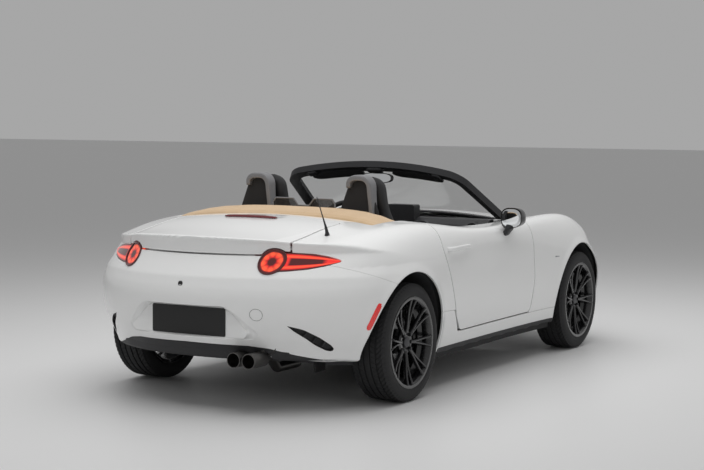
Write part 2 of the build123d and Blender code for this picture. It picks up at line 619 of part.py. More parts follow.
# ---------------------------------------------------------------- cabin
with BuildPart() as dashboard:
    with BuildSketch(Plane.XZ.offset(-DASH_HALF_WIDTH)) as profile:
        with BuildLine():
            Polyline((FIREWALL_X - SEAT_CLEAR, 600), (FIREWALL_X - SEAT_CLEAR, 826), (480, 850), (400, 848), (345, 815),
                     (345, 770), (395, 640), (450, 590), close=True)
        make_face()
        fillet(profile.vertices().filter_by_position(Axis.X, 340, 500), 18)
    extrude(amount=2 * DASH_HALF_WIDTH)
    with BuildSketch(Plane.XZ.offset(-DASH_END_Y)):
        with BuildLine():
            Polyline((FIREWALL_X - SEAT_CLEAR, 600), (FIREWALL_X - SEAT_CLEAR, 808), (420, 812), (365, 800), (350, 770),
                     (395, 640), (450, 590), close=True)
        make_face()
    extrude(amount=2 * DASH_END_Y)
    with BuildSketch(Plane.YZ.offset(BINNACLE_X)):
        with Locations((WHEEL_SEAT_Y, 838)):
            Ellipse(175, 62)
    extrude(amount=120)
    with BuildSketch(Plane.YZ.offset(BINNACLE_X)):
        with Locations((WHEEL_SEAT_Y, 838)):
            Ellipse(160, 48)
    extrude(amount=30, mode=Mode.SUBTRACT)
    with BuildSketch(Plane.YZ.offset(BINNACLE_X + 20)):
        with Locations((0, 870)):
            RectangleRounded(190, 110, 12)
    extrude(amount=80)
    for y in VENT_Y:
        with BuildSketch(Plane.YZ.offset(330)):
            with Locations((y, 790)):
                Circle(42)
                Circle(34, mode=Mode.SUBTRACT)
        extrude(amount=40)
    with BuildSketch(Plane(STEERING_CENTRE, x_dir=(0, 1, 0), z_dir=STEERING_AXIS).offset(COLUMN_GAP)):
        Circle(38)
    extrude(amount=190)
dashboard.part.label = "dashboard"
export_step(dashboard.part, "parts/dashboard.step")

STEERING = Plane(STEERING_CENTRE, x_dir=(0, 1, 0), z_dir=STEERING_AXIS)
with BuildPart() as steering_wheel:
    with BuildSketch(Plane(STEERING_CENTRE, x_dir=STEERING_AXIS, z_dir=(0, 1, 0))):
        with Locations((0, STEERING_RADIUS)):
            Circle(RIM_GRIP)
    revolve(axis=Axis(STEERING_CENTRE, STEERING_AXIS))
    with BuildSketch(STEERING.offset(10)):
        Circle(62)
        Rectangle(2 * STEERING_RADIUS - 8, 34)
        with Locations((0, (STEERING_RADIUS - 4) / 2)):
            Rectangle(46, STEERING_RADIUS - 4)
    extrude(amount=22)
    with BuildSketch(STEERING.offset(32)):
        Circle(30)
    extrude(amount=COLUMN_GAP - 32 - SEAT_CLEAR)
steering_wheel.part.label = "steering_wheel"
export_step(steering_wheel.part, "parts/steering_wheel.step")

with BuildPart() as console:
    with BuildSketch(Plane.XZ.offset(-TUNNEL_HALF_WIDTH)) as profile:
        with BuildLine():
            Polyline((CABIN_REAR_X + SEAT_CLEAR, TUNNEL_TOP_Z + SEAT_CLEAR), (450, TUNNEL_TOP_Z + SEAT_CLEAR), (388, 600),
                     (330, 600), (120, TUNNEL_TOP_Z + 80), (-250, TUNNEL_TOP_Z + 60),
                     (-330, TUNNEL_TOP_Z + 120), (CABIN_REAR_X + SEAT_CLEAR, TUNNEL_TOP_Z + 130), close=True)
        make_face()
    extrude(amount=2 * TUNNEL_HALF_WIDTH)
    with BuildSketch(Plane.XY.offset(TUNNEL_TOP_Z + 60)):
        with Locations((60, 0)):
            Circle(11)
    extrude(amount=110)
    with Locations((60, 0, TUNNEL_TOP_Z + 185)):
        Sphere(25)
    with BuildSketch(Plane.XZ.offset(55)):
        with Locations((-160, TUNNEL_TOP_Z + 76)):
            Rectangle(240, 26, rotation=4)
    extrude(amount=28)
console.part.label = "console"
export_step(console.part, "parts/console.step")

with BuildPart() as seats:
    with BuildSketch(Plane.XZ.offset(SEAT_Y - SEAT_HALF_WIDTH)) as profile:
        with BuildLine():
            Polyline((60, FLOOR_TOP_Z + SEAT_CLEAR), (90, 340), (60, 375), (-330, 330), (-400, 480), (-560, 960),
                     (-585, 1095), (-640, 1125), (-690, 1095), (-680, 960), (-520, 330),
                     (-440, FLOOR_TOP_Z + SEAT_CLEAR), close=True)
        make_face()
        fillet(profile.vertices().sort_by_distance((-330, 330))[0], 60)
        fillet(profile.vertices().sort_by_distance((90, 340))[0], 14)
    extrude(amount=2 * SEAT_HALF_WIDTH)
    with BuildSketch(Plane.YZ.offset(-800)) as outline:
        with BuildLine():
            Polyline((-SEAT_Y - 230, 100), (-SEAT_Y + 230, 100), (-SEAT_Y + 230, 420), (-SEAT_Y + 200, 560),
                     (-SEAT_Y + 215, 800), (-SEAT_Y + 170, 950), (-SEAT_Y + 120, 990), (-SEAT_Y + 115, 1085),
                     (-SEAT_Y + 75, 1130), (-SEAT_Y - 75, 1130), (-SEAT_Y - 115, 1085), (-SEAT_Y - 120, 990),
                     (-SEAT_Y - 170, 950), (-SEAT_Y - 215, 800), (-SEAT_Y - 200, 560), (-SEAT_Y - 230, 420),
                     close=True)
        make_face()
        fillet(outline.vertices().group_by(Axis.Y)[-1], 30)
    extrude(amount=1000, mode=Mode.INTERSECT)
    mirror(about=Plane.XZ)
seats.part.label = "seats"
export_step(seats.part, "parts/seats.step")

with BuildPart() as roll_hoops:
    with BuildSketch(Plane.YZ.offset(HOOP_X - 45)) as outline:
        with BuildLine():
            Polyline((-HOOP_Y - 80, HOOP_FOOT_Z), (-HOOP_Y - 80, 1090), (-HOOP_Y - 30, HOOP_TOP_Z),
                     (-HOOP_Y + 40, HOOP_TOP_Z), (-HOOP_Y + 80, 1100), (-HOOP_Y + 80, 1040), (-HOOP_Y + 30, 1030),
                     (-HOOP_Y + 20, 1085), (-HOOP_Y - 20, 1085), (-HOOP_Y - 28, HOOP_FOOT_Z), close=True)
        make_face()
        fillet(outline.vertices().group_by(Axis.Y)[-1], 22)
    extrude(amount=90)
    with BuildSketch(Plane.YZ.offset(HOOP_X - 45)):
        with Locations((-HOOP_Y - 20, WELL_FLOOR_Z + SEAT_CLEAR)):
            Rectangle(150, HOOP_FOOT_Z - WELL_FLOOR_Z + 10, align=(Align.CENTER, Align.MIN))
    extrude(amount=60)
    mirror(about=Plane.XZ)
roll_hoops.part.label = "roll_hoops"
export_step(roll_hoops.part, "parts/roll_hoops.step")

with BuildPart() as wind_deflector:
    with BuildSketch(Plane.YZ.offset(DEFLECTOR_X)) as panel:
        with BuildLine():
            Polyline((-210, WELL_FLOOR_Z + SEAT_CLEAR), (-210, 985), (-190, 1020), (-60, 1020), (-40, 982), (40, 982), (60, 1020),
                     (190, 1020), (210, 985), (210, WELL_FLOOR_Z + SEAT_CLEAR), close=True)
        make_face()
    extrude(amount=14)
wind_deflector.part.label = "wind_deflector"
export_step(wind_deflector.part, "parts/wind_deflector.step")

with BuildPart() as folded_top:
    with BuildSketch(Plane.XZ.offset(-TOP_HALF_WIDTH)) as profile:
        with BuildLine():
            Polyline((WELL_REAR_X + 6, WELL_FLOOR_Z + SEAT_CLEAR), (WELL_REAR_X + 6, 905), (WELL_REAR_X + 40, 960), (-1030, 992),
                     (-900, 997), (-815, 975), (-800, 930), (-800, WELL_FLOOR_Z + SEAT_CLEAR), close=True)
        make_face()
        fillet(profile.vertices().filter_by_position(Axis.Y, 901, 1000), 25)
    extrude(amount=2 * TOP_HALF_WIDTH)
    with BuildSketch(Plane.YZ.offset(-1300)) as ends:
        with BuildLine():
            Polyline((-TOP_HALF_WIDTH, 600), (TOP_HALF_WIDTH, 600), (TOP_HALF_WIDTH, 905), (TOP_HALF_WIDTH - 60, 970),
                     (TOP_HALF_WIDTH - 150, 1010), (150 - TOP_HALF_WIDTH, 1010), (60 - TOP_HALF_WIDTH, 970),
                     (-TOP_HALF_WIDTH, 905), close=True)
        make_face()
        fillet(ends.vertices().filter_by_position(Axis.Y, 901, 980), 40)
    extrude(amount=700, mode=Mode.INTERSECT)
folded_top.part.label = "folded_top"
export_step(folded_top.part, "parts/folded_top.step")

header_end = Vector(SCREEN_BASE_X, 0, SCREEN_BASE_Z) + slope * (SCREEN_LENGTH + SEAT_CLEAR)
header_top = header_end - normal * 4
header_foot = header_end - normal * 24
with BuildPart() as inner_mirror:
    with BuildSketch(Plane.YZ.offset(MIRROR_X)) as glass:
        with Locations((0, MIRROR_Z)):
            RectangleRounded(230, 62, 24)
    extrude(amount=26)
    with BuildSketch(Plane.XZ.offset(-9)) as arm:
        with BuildLine():
            Polyline((MIRROR_X + 20, MIRROR_Z - 4), (MIRROR_X + 20, MIRROR_Z + 24), (header_top.X, header_top.Z),
                     (header_foot.X, header_foot.Z), close=True)
        make_face()
    extrude(amount=18)
inner_mirror.part.label = "inner_mirror"
export_step(inner_mirror.part, "parts/inner_mirror.step")

# ---------------------------------------------------------------- fittings
with BuildPart() as number_plate:
    with BuildSketch(Plane.YZ.offset(PLATE_X - PLATE_THICKNESS - SEAT_CLEAR)):
        with Locations((0, PLATE_Z)):
            RectangleRounded(440, 140, 8)
    extrude(amount=PLATE_THICKNESS)
number_plate.part.label = "number_plate"
export_step(number_plate.part, "parts/number_plate.step")

with BuildPart() as grille:
    with BuildSketch(Plane.YZ.offset(NOSE_BEAM_X + SEAT_CLEAR)):
        with Locations((0, MOUTH_Z)):
            RectangleRounded(2 * GRILLE_HALF_WIDTH, MOUTH_HEIGHT + 36, 30)
            RectangleRounded(2 * GRILLE_HALF_WIDTH - 60, MOUTH_HEIGHT - 10, 24, mode=Mode.SUBTRACT)
            with GridLocations(0, MOUTH_HEIGHT / GRILLE_BARS, 1, GRILLE_BARS):
                Rectangle(2 * GRILLE_HALF_WIDTH - 40, 9)
    extrude(amount=12)
grille.part.label = "grille"
export_step(grille.part, "parts/grille.step")

with BuildPart() as antenna:
    with BuildSketch(Plane(ANTENNA_FOOT, z_dir=(-0.5, 0, 0.87))):
        Circle(5)
    extrude(amount=ANTENNA_LENGTH, taper=0.5)
    with BuildSketch(Plane(ANTENNA_FOOT, z_dir=(0, -0.2, 1)).offset(-12)):
        Circle(19)
    extrude(amount=24, taper=20)
    add(HULL_CLEAR, mode=Mode.SUBTRACT)
antenna.part.label = "antenna"
export_step(antenna.part, "parts/antenna.step")

with BuildPart() as side_lamps:
    for points in (REFLECTOR, REPEATER):
        add(side_block(points))
    add(hull(-3), mode=Mode.INTERSECT)
    add(HULL_CLEAR, mode=Mode.SUBTRACT)
    mirror(about=Plane.XZ)
side_lamps.part.label = "side_lamps"
export_step(side_lamps.part, "parts/side_lamps.step")

with BuildPart() as stop_lamp:
    with BuildSketch(Plane.XZ):
        with BuildLine():
            Polyline((STOP_LAMP_X, STOP_LAMP_Z - 52), (STOP_LAMP_X, STOP_LAMP_Z + 5), (STOP_LAMP_X + 4, STOP_LAMP_Z + 9),
                     (STOP_LAMP_X + 24, STOP_LAMP_Z + 7), (STOP_LAMP_X + 70, STOP_LAMP_Z - 8),
                     (STOP_LAMP_X + 70, STOP_LAMP_Z - 52), close=True)
        make_face()
    extrude(amount=STOP_LAMP_HALF_WIDTH)
    add(HULL_CLEAR, mode=Mode.SUBTRACT)
    mirror(about=Plane.XZ)
stop_lamp.part.label = "stop_lamp"
export_step(stop_lamp.part, "parts/stop_lamp.step")

with BuildPart() as mirror_right:
    with BuildSketch(Plane.XZ.offset(MIRROR_INNER_Y)) as shell:
        with BuildLine():
            Polyline((60, 835), (78, 940), (150, 955), (215, 915), (222, 850), (150, 822), close=True)
        make_face()
        fillet(shell.vertices(), 24)
    extrude(amount=MIRROR_OUTER_Y - MIRROR_INNER_Y, taper=8)
    with BuildSketch(Plane.XZ.offset(MIRROR_INNER_Y - 60)):
        with BuildLine():
            Polyline((110, 840), (110, 880), (200, 880), (200, 840), close=True)
        make_face()
    extrude(amount=70)
    with BuildSketch(Plane.XY.offset(800)):
        with Locations((155, 60 - MIRROR_INNER_Y)):
            Rectangle(90, 50)
    extrude(amount=80)
    add(HULL_CLEAR, mode=Mode.SUBTRACT)
for side in ("right", "left"):
    one = mirror_right.part if side == "right" else mirror(mirror_right.part, about=Plane.XZ)
    one.label = f"mirror_{side}"
    export_step(one, f"parts/mirror_{side}.step")

# ---------------------------------------------------------------- wheels, tyres and uprights
def wheel_plane(x, half_track, side):
    """Plane of a wheel with its normal pointing out of the car."""
    return Plane(origin=(x, side * half_track, TYRE_RADIUS), x_dir=(1, 0, 0), z_dir=(0, side, 0))


def profile_plane(plane):
    """Plane through the wheel axis: first coordinate is the radius, second runs outwards along the axis."""
    return Plane(origin=plane.origin, x_dir=plane.x_dir, z_dir=plane.x_dir.cross(plane.z_dir))


def upright(plane):
    """Wheel carrier with its spindle, ball joint bosses and brake caliper."""
    inner = -DISC_THICKNESS - 8
    with BuildPart() as carrier:
        with BuildSketch(plane.offset(inner - PLATE_THICK)) as plate:
            with BuildLine():
                Polyline((-42, BALL_LOW), (42, BALL_LOW), (48, 0), (28, BALL_HIGH), (-28, BALL_HIGH), (-48, 0), close=True)
            make_face()
            fillet(plate.vertices(), 10)
            Circle(62)
        extrude(amount=PLATE_THICK)
        foot = (plane.origin.X, plane.origin.Y + KINGPIN_OFFSET)
        with BuildSketch(Plane.XY.offset(SUBFRAME_Z + 30 + SEAT_CLEAR)):
            with Locations(foot):
                Circle(12)
        extrude(amount=TYRE_RADIUS + BALL_LOW - SUBFRAME_Z - 28)
        with BuildSketch(Plane.XY.offset(TYRE_RADIUS + BALL_HIGH - 2)):
            with Locations(foot):
                Circle(12)
        extrude(amount=UPPER_ARM_Z - 20 - SEAT_CLEAR - TYRE_RADIUS - BALL_HIGH + 2)
        with BuildSketch(plane.offset(inner - 10)):
            Circle(SPINDLE_RADIUS)
        extrude(amount=SPINDLE_REACH - inner + 10)
        with BuildSketch(plane.offset(inner - 20)):
            with Locations((-CALIPER_RADIUS, 0)):
                RectangleRounded(62, 130, 12)
        extrude(amount=20 - inner + 24)
        with BuildSketch(plane.offset(-DISC_THICKNESS - 5)):
            Circle(DISC_RADIUS + 6)
        extrude(amount=DISC_THICKNESS + 10, mode=Mode.SUBTRACT)
        with BuildSketch(plane.offset(inner - 10)):
            Circle(SPINDLE_RADIUS)
        extrude(amount=SPINDLE_REACH - inner + 10)
        with BuildSketch(plane.offset(inner - 20)):
            with Locations((-CALIPER_RADIUS / 2 - 20, 0)):
                Rectangle(70, 50)
        extrude(amount=16)
    return carrier.part


RIM_SECTION = ((228, 95), (228, 88), (216, 86), (214, 52), (198, 36), (198, -8), (212, -42), (214, -86), (228, -88),
               (228, -95), (220, -95), (207, -84), (205, -38), (191, -4), (191, 32), (207, 50), (209, 84), (221, 95))
TYRE_SECTION = ((216.4, -84), (229.5, -84), (229.5, -96), (262, -102.5), (286, -99), (302, -86), (308, -70), (308, 70),
                (302, 86), (286, 99), (262, 102.5), (229.5, 96), (229.5, 84), (216.4, 84))
# two spokes that part from one root, as a V
with BuildSketch() as spoke_pair:
    for lean in (1, -1):
        with BuildLine():
            Polyline(*[(r * math.cos(math.radians(lean * a)), r * math.sin(math.radians(lean * a)))
                       for r, a in SPOKE_OUTLINE], close=True)
        make_face()
for end, axle_x, half_track in (("front", FRONT_AXLE_X, FRONT_HALF_TRACK), ("rear", REAR_AXLE_X, REAR_HALF_TRACK)):
    plane = wheel_plane(axle_x, half_track, -1)
    across = profile_plane(plane)
    axle = Axis(plane.origin, plane.z_dir)
    with BuildPart() as wheel:
        with BuildSketch(across):
            with BuildLine():
                Polyline(*RIM_SECTION, close=True)
            make_face()
        revolve(axis=axle)
        with BuildSketch(plane.offset(HUB_INNER)):
            Circle(HUB_RADIUS)
        extrude(amount=HUB_FACE - HUB_INNER)
        with BuildSketch(plane.offset(SPOKE_INNER)):
            with PolarLocations(0, SPOKE_PAIRS):
                add(spoke_pair.sketch)
        extrude(amount=HUB_FACE - 4 - SPOKE_INNER)
        with BuildSketch(plane.offset(-DISC_THICKNESS)):
            Circle(DISC_RADIUS)
        extrude(amount=DISC_THICKNESS)
        with BuildSketch(plane.offset(-1)):
            Circle(HUB_RADIUS - 4)
        extrude(amount=HUB_INNER + 2)
        with BuildSketch(plane.offset(-DISC_THICKNESS)):
            Circle(SPINDLE_RADIUS + SEAT_CLEAR)
        extrude(amount=DISC_THICKNESS + SPINDLE_REACH + SEAT_CLEAR, mode=Mode.SUBTRACT)
    with BuildPart() as tyre:
        with BuildSketch(across):
            with BuildLine():
                Polyline(*TYRE_SECTION, close=True)
            make_face()
        revolve(axis=axle)
    for side in ("right", "left"):
        for kind, piece in (("wheel", wheel), ("tyre", tyre)):
            one = piece.part if side == "right" else mirror(piece.part, about=Plane.XZ)
            one.label = f"{kind}_{end}_{side}"
            export_step(one, f"parts/{one.label}.step")

with BuildPart() as knuckle_right:
    add(upright(wheel_plane(FRONT_AXLE_X, FRONT_HALF_TRACK, -1)))
for side in ("right", "left"):
    one = knuckle_right.part if side == "right" else mirror(knuckle_right.part, about=Plane.XZ)
    one.label = f"knuckle_{side}"
    export_step(one, f"parts/{one.label}.step")

# ---------------------------------------------------------------- axles and drive
def control_arm(foot_x, foot_y, foot_z, tip, half_base, half_tip, thickness):
    """Flat wishbone from its inner pivots to its ball joint, as an upright prism between two levels."""
    tip_x, tip_y, tip_z = tip
    with BuildPart() as arm:
        with BuildSketch(Plane.XY.offset(min(foot_z, tip_z) - thickness)):
            with BuildLine():
                Polyline((foot_x - half_base, foot_y), (tip_x - half_tip, tip_y), (tip_x + half_tip, tip_y),
                         (foot_x + half_base, foot_y), close=True)
            make_face()
            with BuildLine():
                Polyline((foot_x - half_base + 38, foot_y), (foot_x + half_base - 38, foot_y),
                         (tip_x, foot_y + 0.3 * (tip_y - foot_y)), close=True)
            make_face(mode=Mode.SUBTRACT)
        extrude(amount=thickness)
    return arm.part


def axle_set(axle_x, half_track, post_top, strut_x):
    """Cross member, wishbones and spring struts of one axle."""
    ball_y = -(half_track - KINGPIN_OFFSET) - 14
    with BuildPart() as axle:
        with BuildSketch(Plane.XY.offset(SUBFRAME_Z)) as beam:
            Rectangle(1, 1, mode=Mode.PRIVATE)
            with Locations((axle_x, 0)):
                Rectangle(250, 2 * SUBFRAME_HALF_WIDTH)
            fillet(beam.vertices(), 40)
            with Locations((axle_x, 0)):
                Rectangle(120, 2 * SUBFRAME_HALF_WIDTH - 200, mode=Mode.SUBTRACT)
        extrude(amount=SUBFRAME_HEIGHT)
        add(control_arm(axle_x, -SUBFRAME_HALF_WIDTH + 5, SUBFRAME_Z + 30, (axle_x, ball_y, SUBFRAME_Z + 30), 140, 24, 26))
        for x in (-95, 95):
            with BuildSketch(Plane.XY.offset(SUBFRAME_Z + SUBFRAME_HEIGHT - 1)):
                with Locations((axle_x + x, -SUBFRAME_HALF_WIDTH + 35)):
                    Rectangle(34, 60)
            extrude(amount=post_top - SUBFRAME_Z - SUBFRAME_HEIGHT + 1 - SEAT_CLEAR)
        add(control_arm(axle_x, -ARCH_WALL_Y - SEAT_CLEAR, UPPER_ARM_Z, (axle_x, ball_y, UPPER_ARM_Z), 90, 22, 20))
        spring_top = TYRE_RADIUS + math.sqrt(ARCH_RADIUS**2 - (abs(strut_x) + SPRING_RADIUS) ** 2) - SEAT_CLEAR
        with BuildSketch(Plane.XY.offset(SUBFRAME_Z + 20)):
            with Locations((axle_x + strut_x, -STRUT_Y)):
                Circle(17)
        extrude(amount=spring_top - 30 - SUBFRAME_Z)
        with BuildSketch(Plane.XY.offset(UPPER_ARM_Z + 30)):
            with Locations((axle_x + strut_x, -STRUT_Y)):
                Circle(SPRING_RADIUS)
        extrude(amount=spring_top - UPPER_ARM_Z - 30)
        mirror(about=Plane.XZ)
    return axle.part


with BuildPart() as front_suspension:
    add(axle_set(FRONT_AXLE_X, FRONT_HALF_TRACK, SUBFRAME_TOP_Z[1], 0))
front_suspension.part.label = "front_suspension"
export_step(front_suspension.part, "parts/front_suspension.step")

with BuildPart() as rear_suspension:
    add(axle_set(REAR_AXLE_X, REAR_HALF_TRACK, SUBFRAME_TOP_Z[0], STRUT_X))
rear_suspension.part.label = "rear_suspension"
export_step(rear_suspension.part, "parts/rear_suspension.step")

with BuildPart() as rear_uprights:
    add(upright(wheel_plane(REAR_AXLE_X, REAR_HALF_TRACK, -1)))
    mirror(about=Plane.XZ)
rear_uprights.part.label = "rear_uprights"
export_step(rear_uprights.part, "parts/rear_uprights.step")

with BuildPart() as engine:
    add(box(*ENGINE_X, -210, 210, ENGINE_BOTTOM_Z, 620))
    fillet(engine.edges().filter_by(Axis.X), 30)
engine.part.label = "engine"
export_step(engine.part, "parts/engine.step")

with BuildPart() as driveline:
    with BuildSketch(Plane.YZ.offset(GEARBOX_X[0])):
        with Locations((0, SHAFT_Z)):
            Circle(52)
    with BuildSketch(Plane.YZ.offset(ENGINE_X[0] - SEAT_CLEAR)):
        with Locations((0, SHAFT_Z)):
            Circle(76)
    loft()
    with BuildSketch(Plane.YZ.offset(REAR_AXLE_X + 60)):
        with Locations((0, SHAFT_Z)):
            Circle(32)
    extrude(amount=GEARBOX_X[0] - REAR_AXLE_X - 55)
    with BuildSketch(Plane.YZ.offset(REAR_AXLE_X - 110)):
        with Locations((0, SHAFT_Z)):
            RectangleRounded(220, DIFF_HEIGHT, 40)
    extrude(amount=200)
    with BuildSketch(Plane.XZ.offset(-DIFF_REACH)):
        with Locations((REAR_AXLE_X, SHAFT_Z)):
            Circle(20)
    extrude(amount=2 * DIFF_REACH)
driveline.part.label = "driveline"
export_step(driveline.part, "parts/driveline.step")

with BuildPart() as exhaust:
    with BuildLine() as route:
        FilletPolyline((ENGINE_X[0] + 60, -45, PIPE_Z), (-720, -45, PIPE_Z), (-850, -45, PIPE_LOW_Z),
                       (-940, -45, PIPE_LOW_Z), (-1100, -150, PIPE_LOW_Z), (-1300, -150, PIPE_LOW_Z),
                       (-1440, -150, 300), (-1540, -150, 320), radius=40)
    with BuildSketch(Plane(route.line @ 0, z_dir=route.line % 0)):
        Circle(PIPE_RADIUS)
    sweep()
    with BuildSketch(Plane.YZ.offset(-1780)):
        with Locations((-230, 345)):
            RectangleRounded(440, 100, 45)
    extrude(amount=250)
    for y in TAILPIPE_Y:
        with BuildSketch(Plane.YZ.offset(TAILPIPE_END_X)):
            with Locations((y, TAILPIPE_Z)):
                Circle(TAILPIPE_RADIUS)
                Circle(TAILPIPE_RADIUS - 3, mode=Mode.SUBTRACT)
        extrude(amount=130)
        with BuildSketch(Plane.YZ.offset(TAILPIPE_END_X + 125)):
            with Locations((y, TAILPIPE_Z)):
                Circle(TAILPIPE_RADIUS)
        extrude(amount=6)
        with BuildSketch(Plane.YZ.offset(TAILPIPE_END_X + 112)):
            with Locations((y, (TAILPIPE_Z + 340) / 2)):
                Rectangle(40, 80)
        extrude(amount=60)
exhaust.part.label = "exhaust"
export_step(exhaust.part, "parts/exhaust.step")
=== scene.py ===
# %% [markdown]
# # An open two-seat roadster, dressed for its portrait
# The car arrives as a set of solid parts. This lesson gives it its looks: lacquered panels, rubber with a
# tread, lamps that glow, woven cloth and padded seats. Each new piece is a surface that numpy works out as
# a whole, so its formula can be read, changed and tried again.

import json
import math

import bmesh
import bpy
import numpy as np
from mathutils import Matrix, Vector


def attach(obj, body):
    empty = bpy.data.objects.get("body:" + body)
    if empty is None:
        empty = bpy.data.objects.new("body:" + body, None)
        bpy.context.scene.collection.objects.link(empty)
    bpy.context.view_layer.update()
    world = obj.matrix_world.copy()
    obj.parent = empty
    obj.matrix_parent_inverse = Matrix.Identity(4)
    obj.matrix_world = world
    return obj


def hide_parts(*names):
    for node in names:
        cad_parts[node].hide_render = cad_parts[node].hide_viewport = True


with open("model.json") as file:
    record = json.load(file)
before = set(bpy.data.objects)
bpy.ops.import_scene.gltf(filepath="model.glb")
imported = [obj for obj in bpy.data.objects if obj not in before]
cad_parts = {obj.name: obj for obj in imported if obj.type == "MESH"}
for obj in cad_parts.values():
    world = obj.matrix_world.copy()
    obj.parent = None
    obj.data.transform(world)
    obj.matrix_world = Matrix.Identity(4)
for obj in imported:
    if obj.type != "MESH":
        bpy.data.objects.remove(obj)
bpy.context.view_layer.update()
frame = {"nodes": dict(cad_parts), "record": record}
NODES = frame["nodes"]

# %% [markdown]
# ## Camera
# A long lens from the right rear shows the tail and the whole flank at once. The camera is placed by its
# position and three angles, and its matrix is put together from the three directions they give.

# %% Camera
CAMERA_PLACE = Vector((-8.491, -4.692, 1.479))
CAMERA_YAW = math.radians(29.63)
CAMERA_PITCH = math.radians(-4.25)
CAMERA_ROLL = math.radians(0.34)
CAMERA_LENS = 83.4


def aim(yaw, pitch, roll):
    """Camera axes: forward = (cos p cos y, cos p sin y, sin p), then right and up turned about it by roll."""
    forward = Vector((math.cos(pitch) * math.cos(yaw), math.cos(pitch) * math.sin(yaw), math.sin(pitch)))
    right = forward.cross(Vector((0, 0, 1))).normalized()
    up = right.cross(forward)
    turned = right * math.cos(roll) + up * math.sin(roll)
    upright = up * math.cos(roll) - right * math.sin(roll)
    return Matrix((turned, upright, -forward)).transposed().to_4x4()


lens = bpy.data.cameras.new("portrait_camera")
lens.lens = CAMERA_LENS
lens.sensor_width = 36
lens.clip_end = 200
camera = bpy.data.objects.new("portrait_camera", lens)
camera.matrix_world = Matrix.Translation(CAMERA_PLACE) @ aim(CAMERA_YAW, CAMERA_PITCH, CAMERA_ROLL)
bpy.context.scene.collection.objects.link(camera)
bpy.context.scene.camera = camera
print("camera stands", round(CAMERA_PLACE.length, 2), "m from the middle of the car")


# %% [markdown]
# ## Shader maths as expressions
# A node tree is a formula drawn as boxes. One small class wraps a socket, so that the formula can be
# written as Python again: `1 + mask * 0.5` adds the two Math nodes that it needs.

# %% Sockets that add and multiply
class Val:
    """A number that a node gives; the operators add Math nodes to its tree."""

    def __init__(self, mat, socket):
        self.mat, self.socket = mat, socket

    def op(self, operation, *others):
        return self.mat.node("ShaderNodeMath", {"operation": operation}, dict(enumerate((self, *others))))

    def __add__(self, other):
        return self.op("ADD", other)

    def __mul__(self, other):
        return self.op("MULTIPLY", other)

    def __sub__(self, other):
        return self.op("SUBTRACT", other)

    def __truediv__(self, other):
        return self.op("DIVIDE", other)

    def __rsub__(self, other):
        return (self * -1.0) + other

    def __pow__(self, other):
        return self.op("POWER", other)

    __radd__, __rmul__ = __add__, __mul__

    def sin(self):
        return self.op("SINE")

    def abs(self):
        return self.op("ABSOLUTE")

    def clamp(self):
        return self.mat.node("ShaderNodeClamp", {}, {"Value": self})

    def between(self, low, high):
        """0 below low, 1 above high, and an even ramp from one to the other."""
        return ((self - low) * (1.0 / (high - low))).clamp()


class Finish:
    """A material with one Principled shader, fed by expressions."""

    def __init__(self, name, **sockets):
        self.material = bpy.data.materials.new(name)
        self.material.use_nodes = True
        self.tree = self.material.node_tree
        self.shader = self.tree.nodes["Principled BSDF"]
        self.set(**sockets)

    def node(self, kind, settings, inputs, output=0):
        """Adds a node: first its settings, then the values or links of its sockets."""
        made = self.tree.nodes.new(kind)
        for key, value in settings.items():
            setattr(made, key, value)
        for key, value in inputs.items():
            self.feed(made.inputs[key], value)
        return Val(self, made.outputs[output])

    def feed(self, socket, value):
        if isinstance(value, Val):
            self.tree.links.new(value.socket, socket)
        elif isinstance(value, (tuple, list)) and socket.type == "RGBA":
            socket.default_value = (*value, 1) if len(value) == 3 else value
        else:
            socket.default_value = value

    def set(self, **sockets):
        for key, value in sockets.items():
            self.feed(self.shader.inputs[key.replace("_", " ").title().replace("Ior", "IOR")], value)
        return self

    def place(self, scale=(1, 1, 1)):
        """Object coordinates, stretched by scale: metres in the car's own frame."""
        where = self.node("ShaderNodeTexCoord", {}, {}, "Object")
        return self.node("ShaderNodeMapping", {}, {"Vector": where, "Scale": scale})

    def axis(self, where, name):
        return self.node("ShaderNodeSeparateXYZ", {}, {"Vector": where}, name)

    def noise(self, scale, detail=2.0, where=None):
        where = where or self.node("ShaderNodeTexCoord", {}, {}, "Object")
        return self.node("ShaderNodeTexNoise", {}, {"Scale": scale, "Detail": detail, "Vector": where}, "Fac")

    def cells(self, scale, stretch=(1, 1, 1)):
        """Distance to the nearest of many scattered points, which draws grain, pores and facets."""
        return self.node("ShaderNodeTexVoronoi", {}, {"Vector": self.place(stretch), "Scale": scale})

    def mix(self, factor, first, second):
        """Blend of two colours by factor."""
        made = self.tree.nodes.new("ShaderNodeMix")
        made.data_type = "RGBA"
        for index, value in ((0, factor), (6, first), (7, second)):
            self.feed(made.inputs[index], value)
        return Val(self, made.outputs[2])

    def bump(self, height, strength, distance):
        return self.node("ShaderNodeBump", {}, {"Height": height, "Strength": strength, "Distance": distance})


print("expressions are ready")

# %% [markdown]
# ## Finishes
# Every material has the small unevenness of the real one: orange peel in the lacquer, grain in moulded
# plastic, dust on glass. Sizes are in metres, because Object coordinates are.

# %% Paint, plastic, metal and glass
paint = Finish("pearl_white_paint", roughness=0.32, coat_weight=1.0, coat_roughness=0.03,
               specular_ior_level=0.5)
fleck = paint.noise(900.0, 1.0)
paint.set(base_color=paint.mix(fleck.between(0.35, 0.75), (0.80, 0.805, 0.80), (0.85, 0.85, 0.845)),
          normal=paint.bump(paint.noise(260.0, 1.0), 0.04, 0.0006))


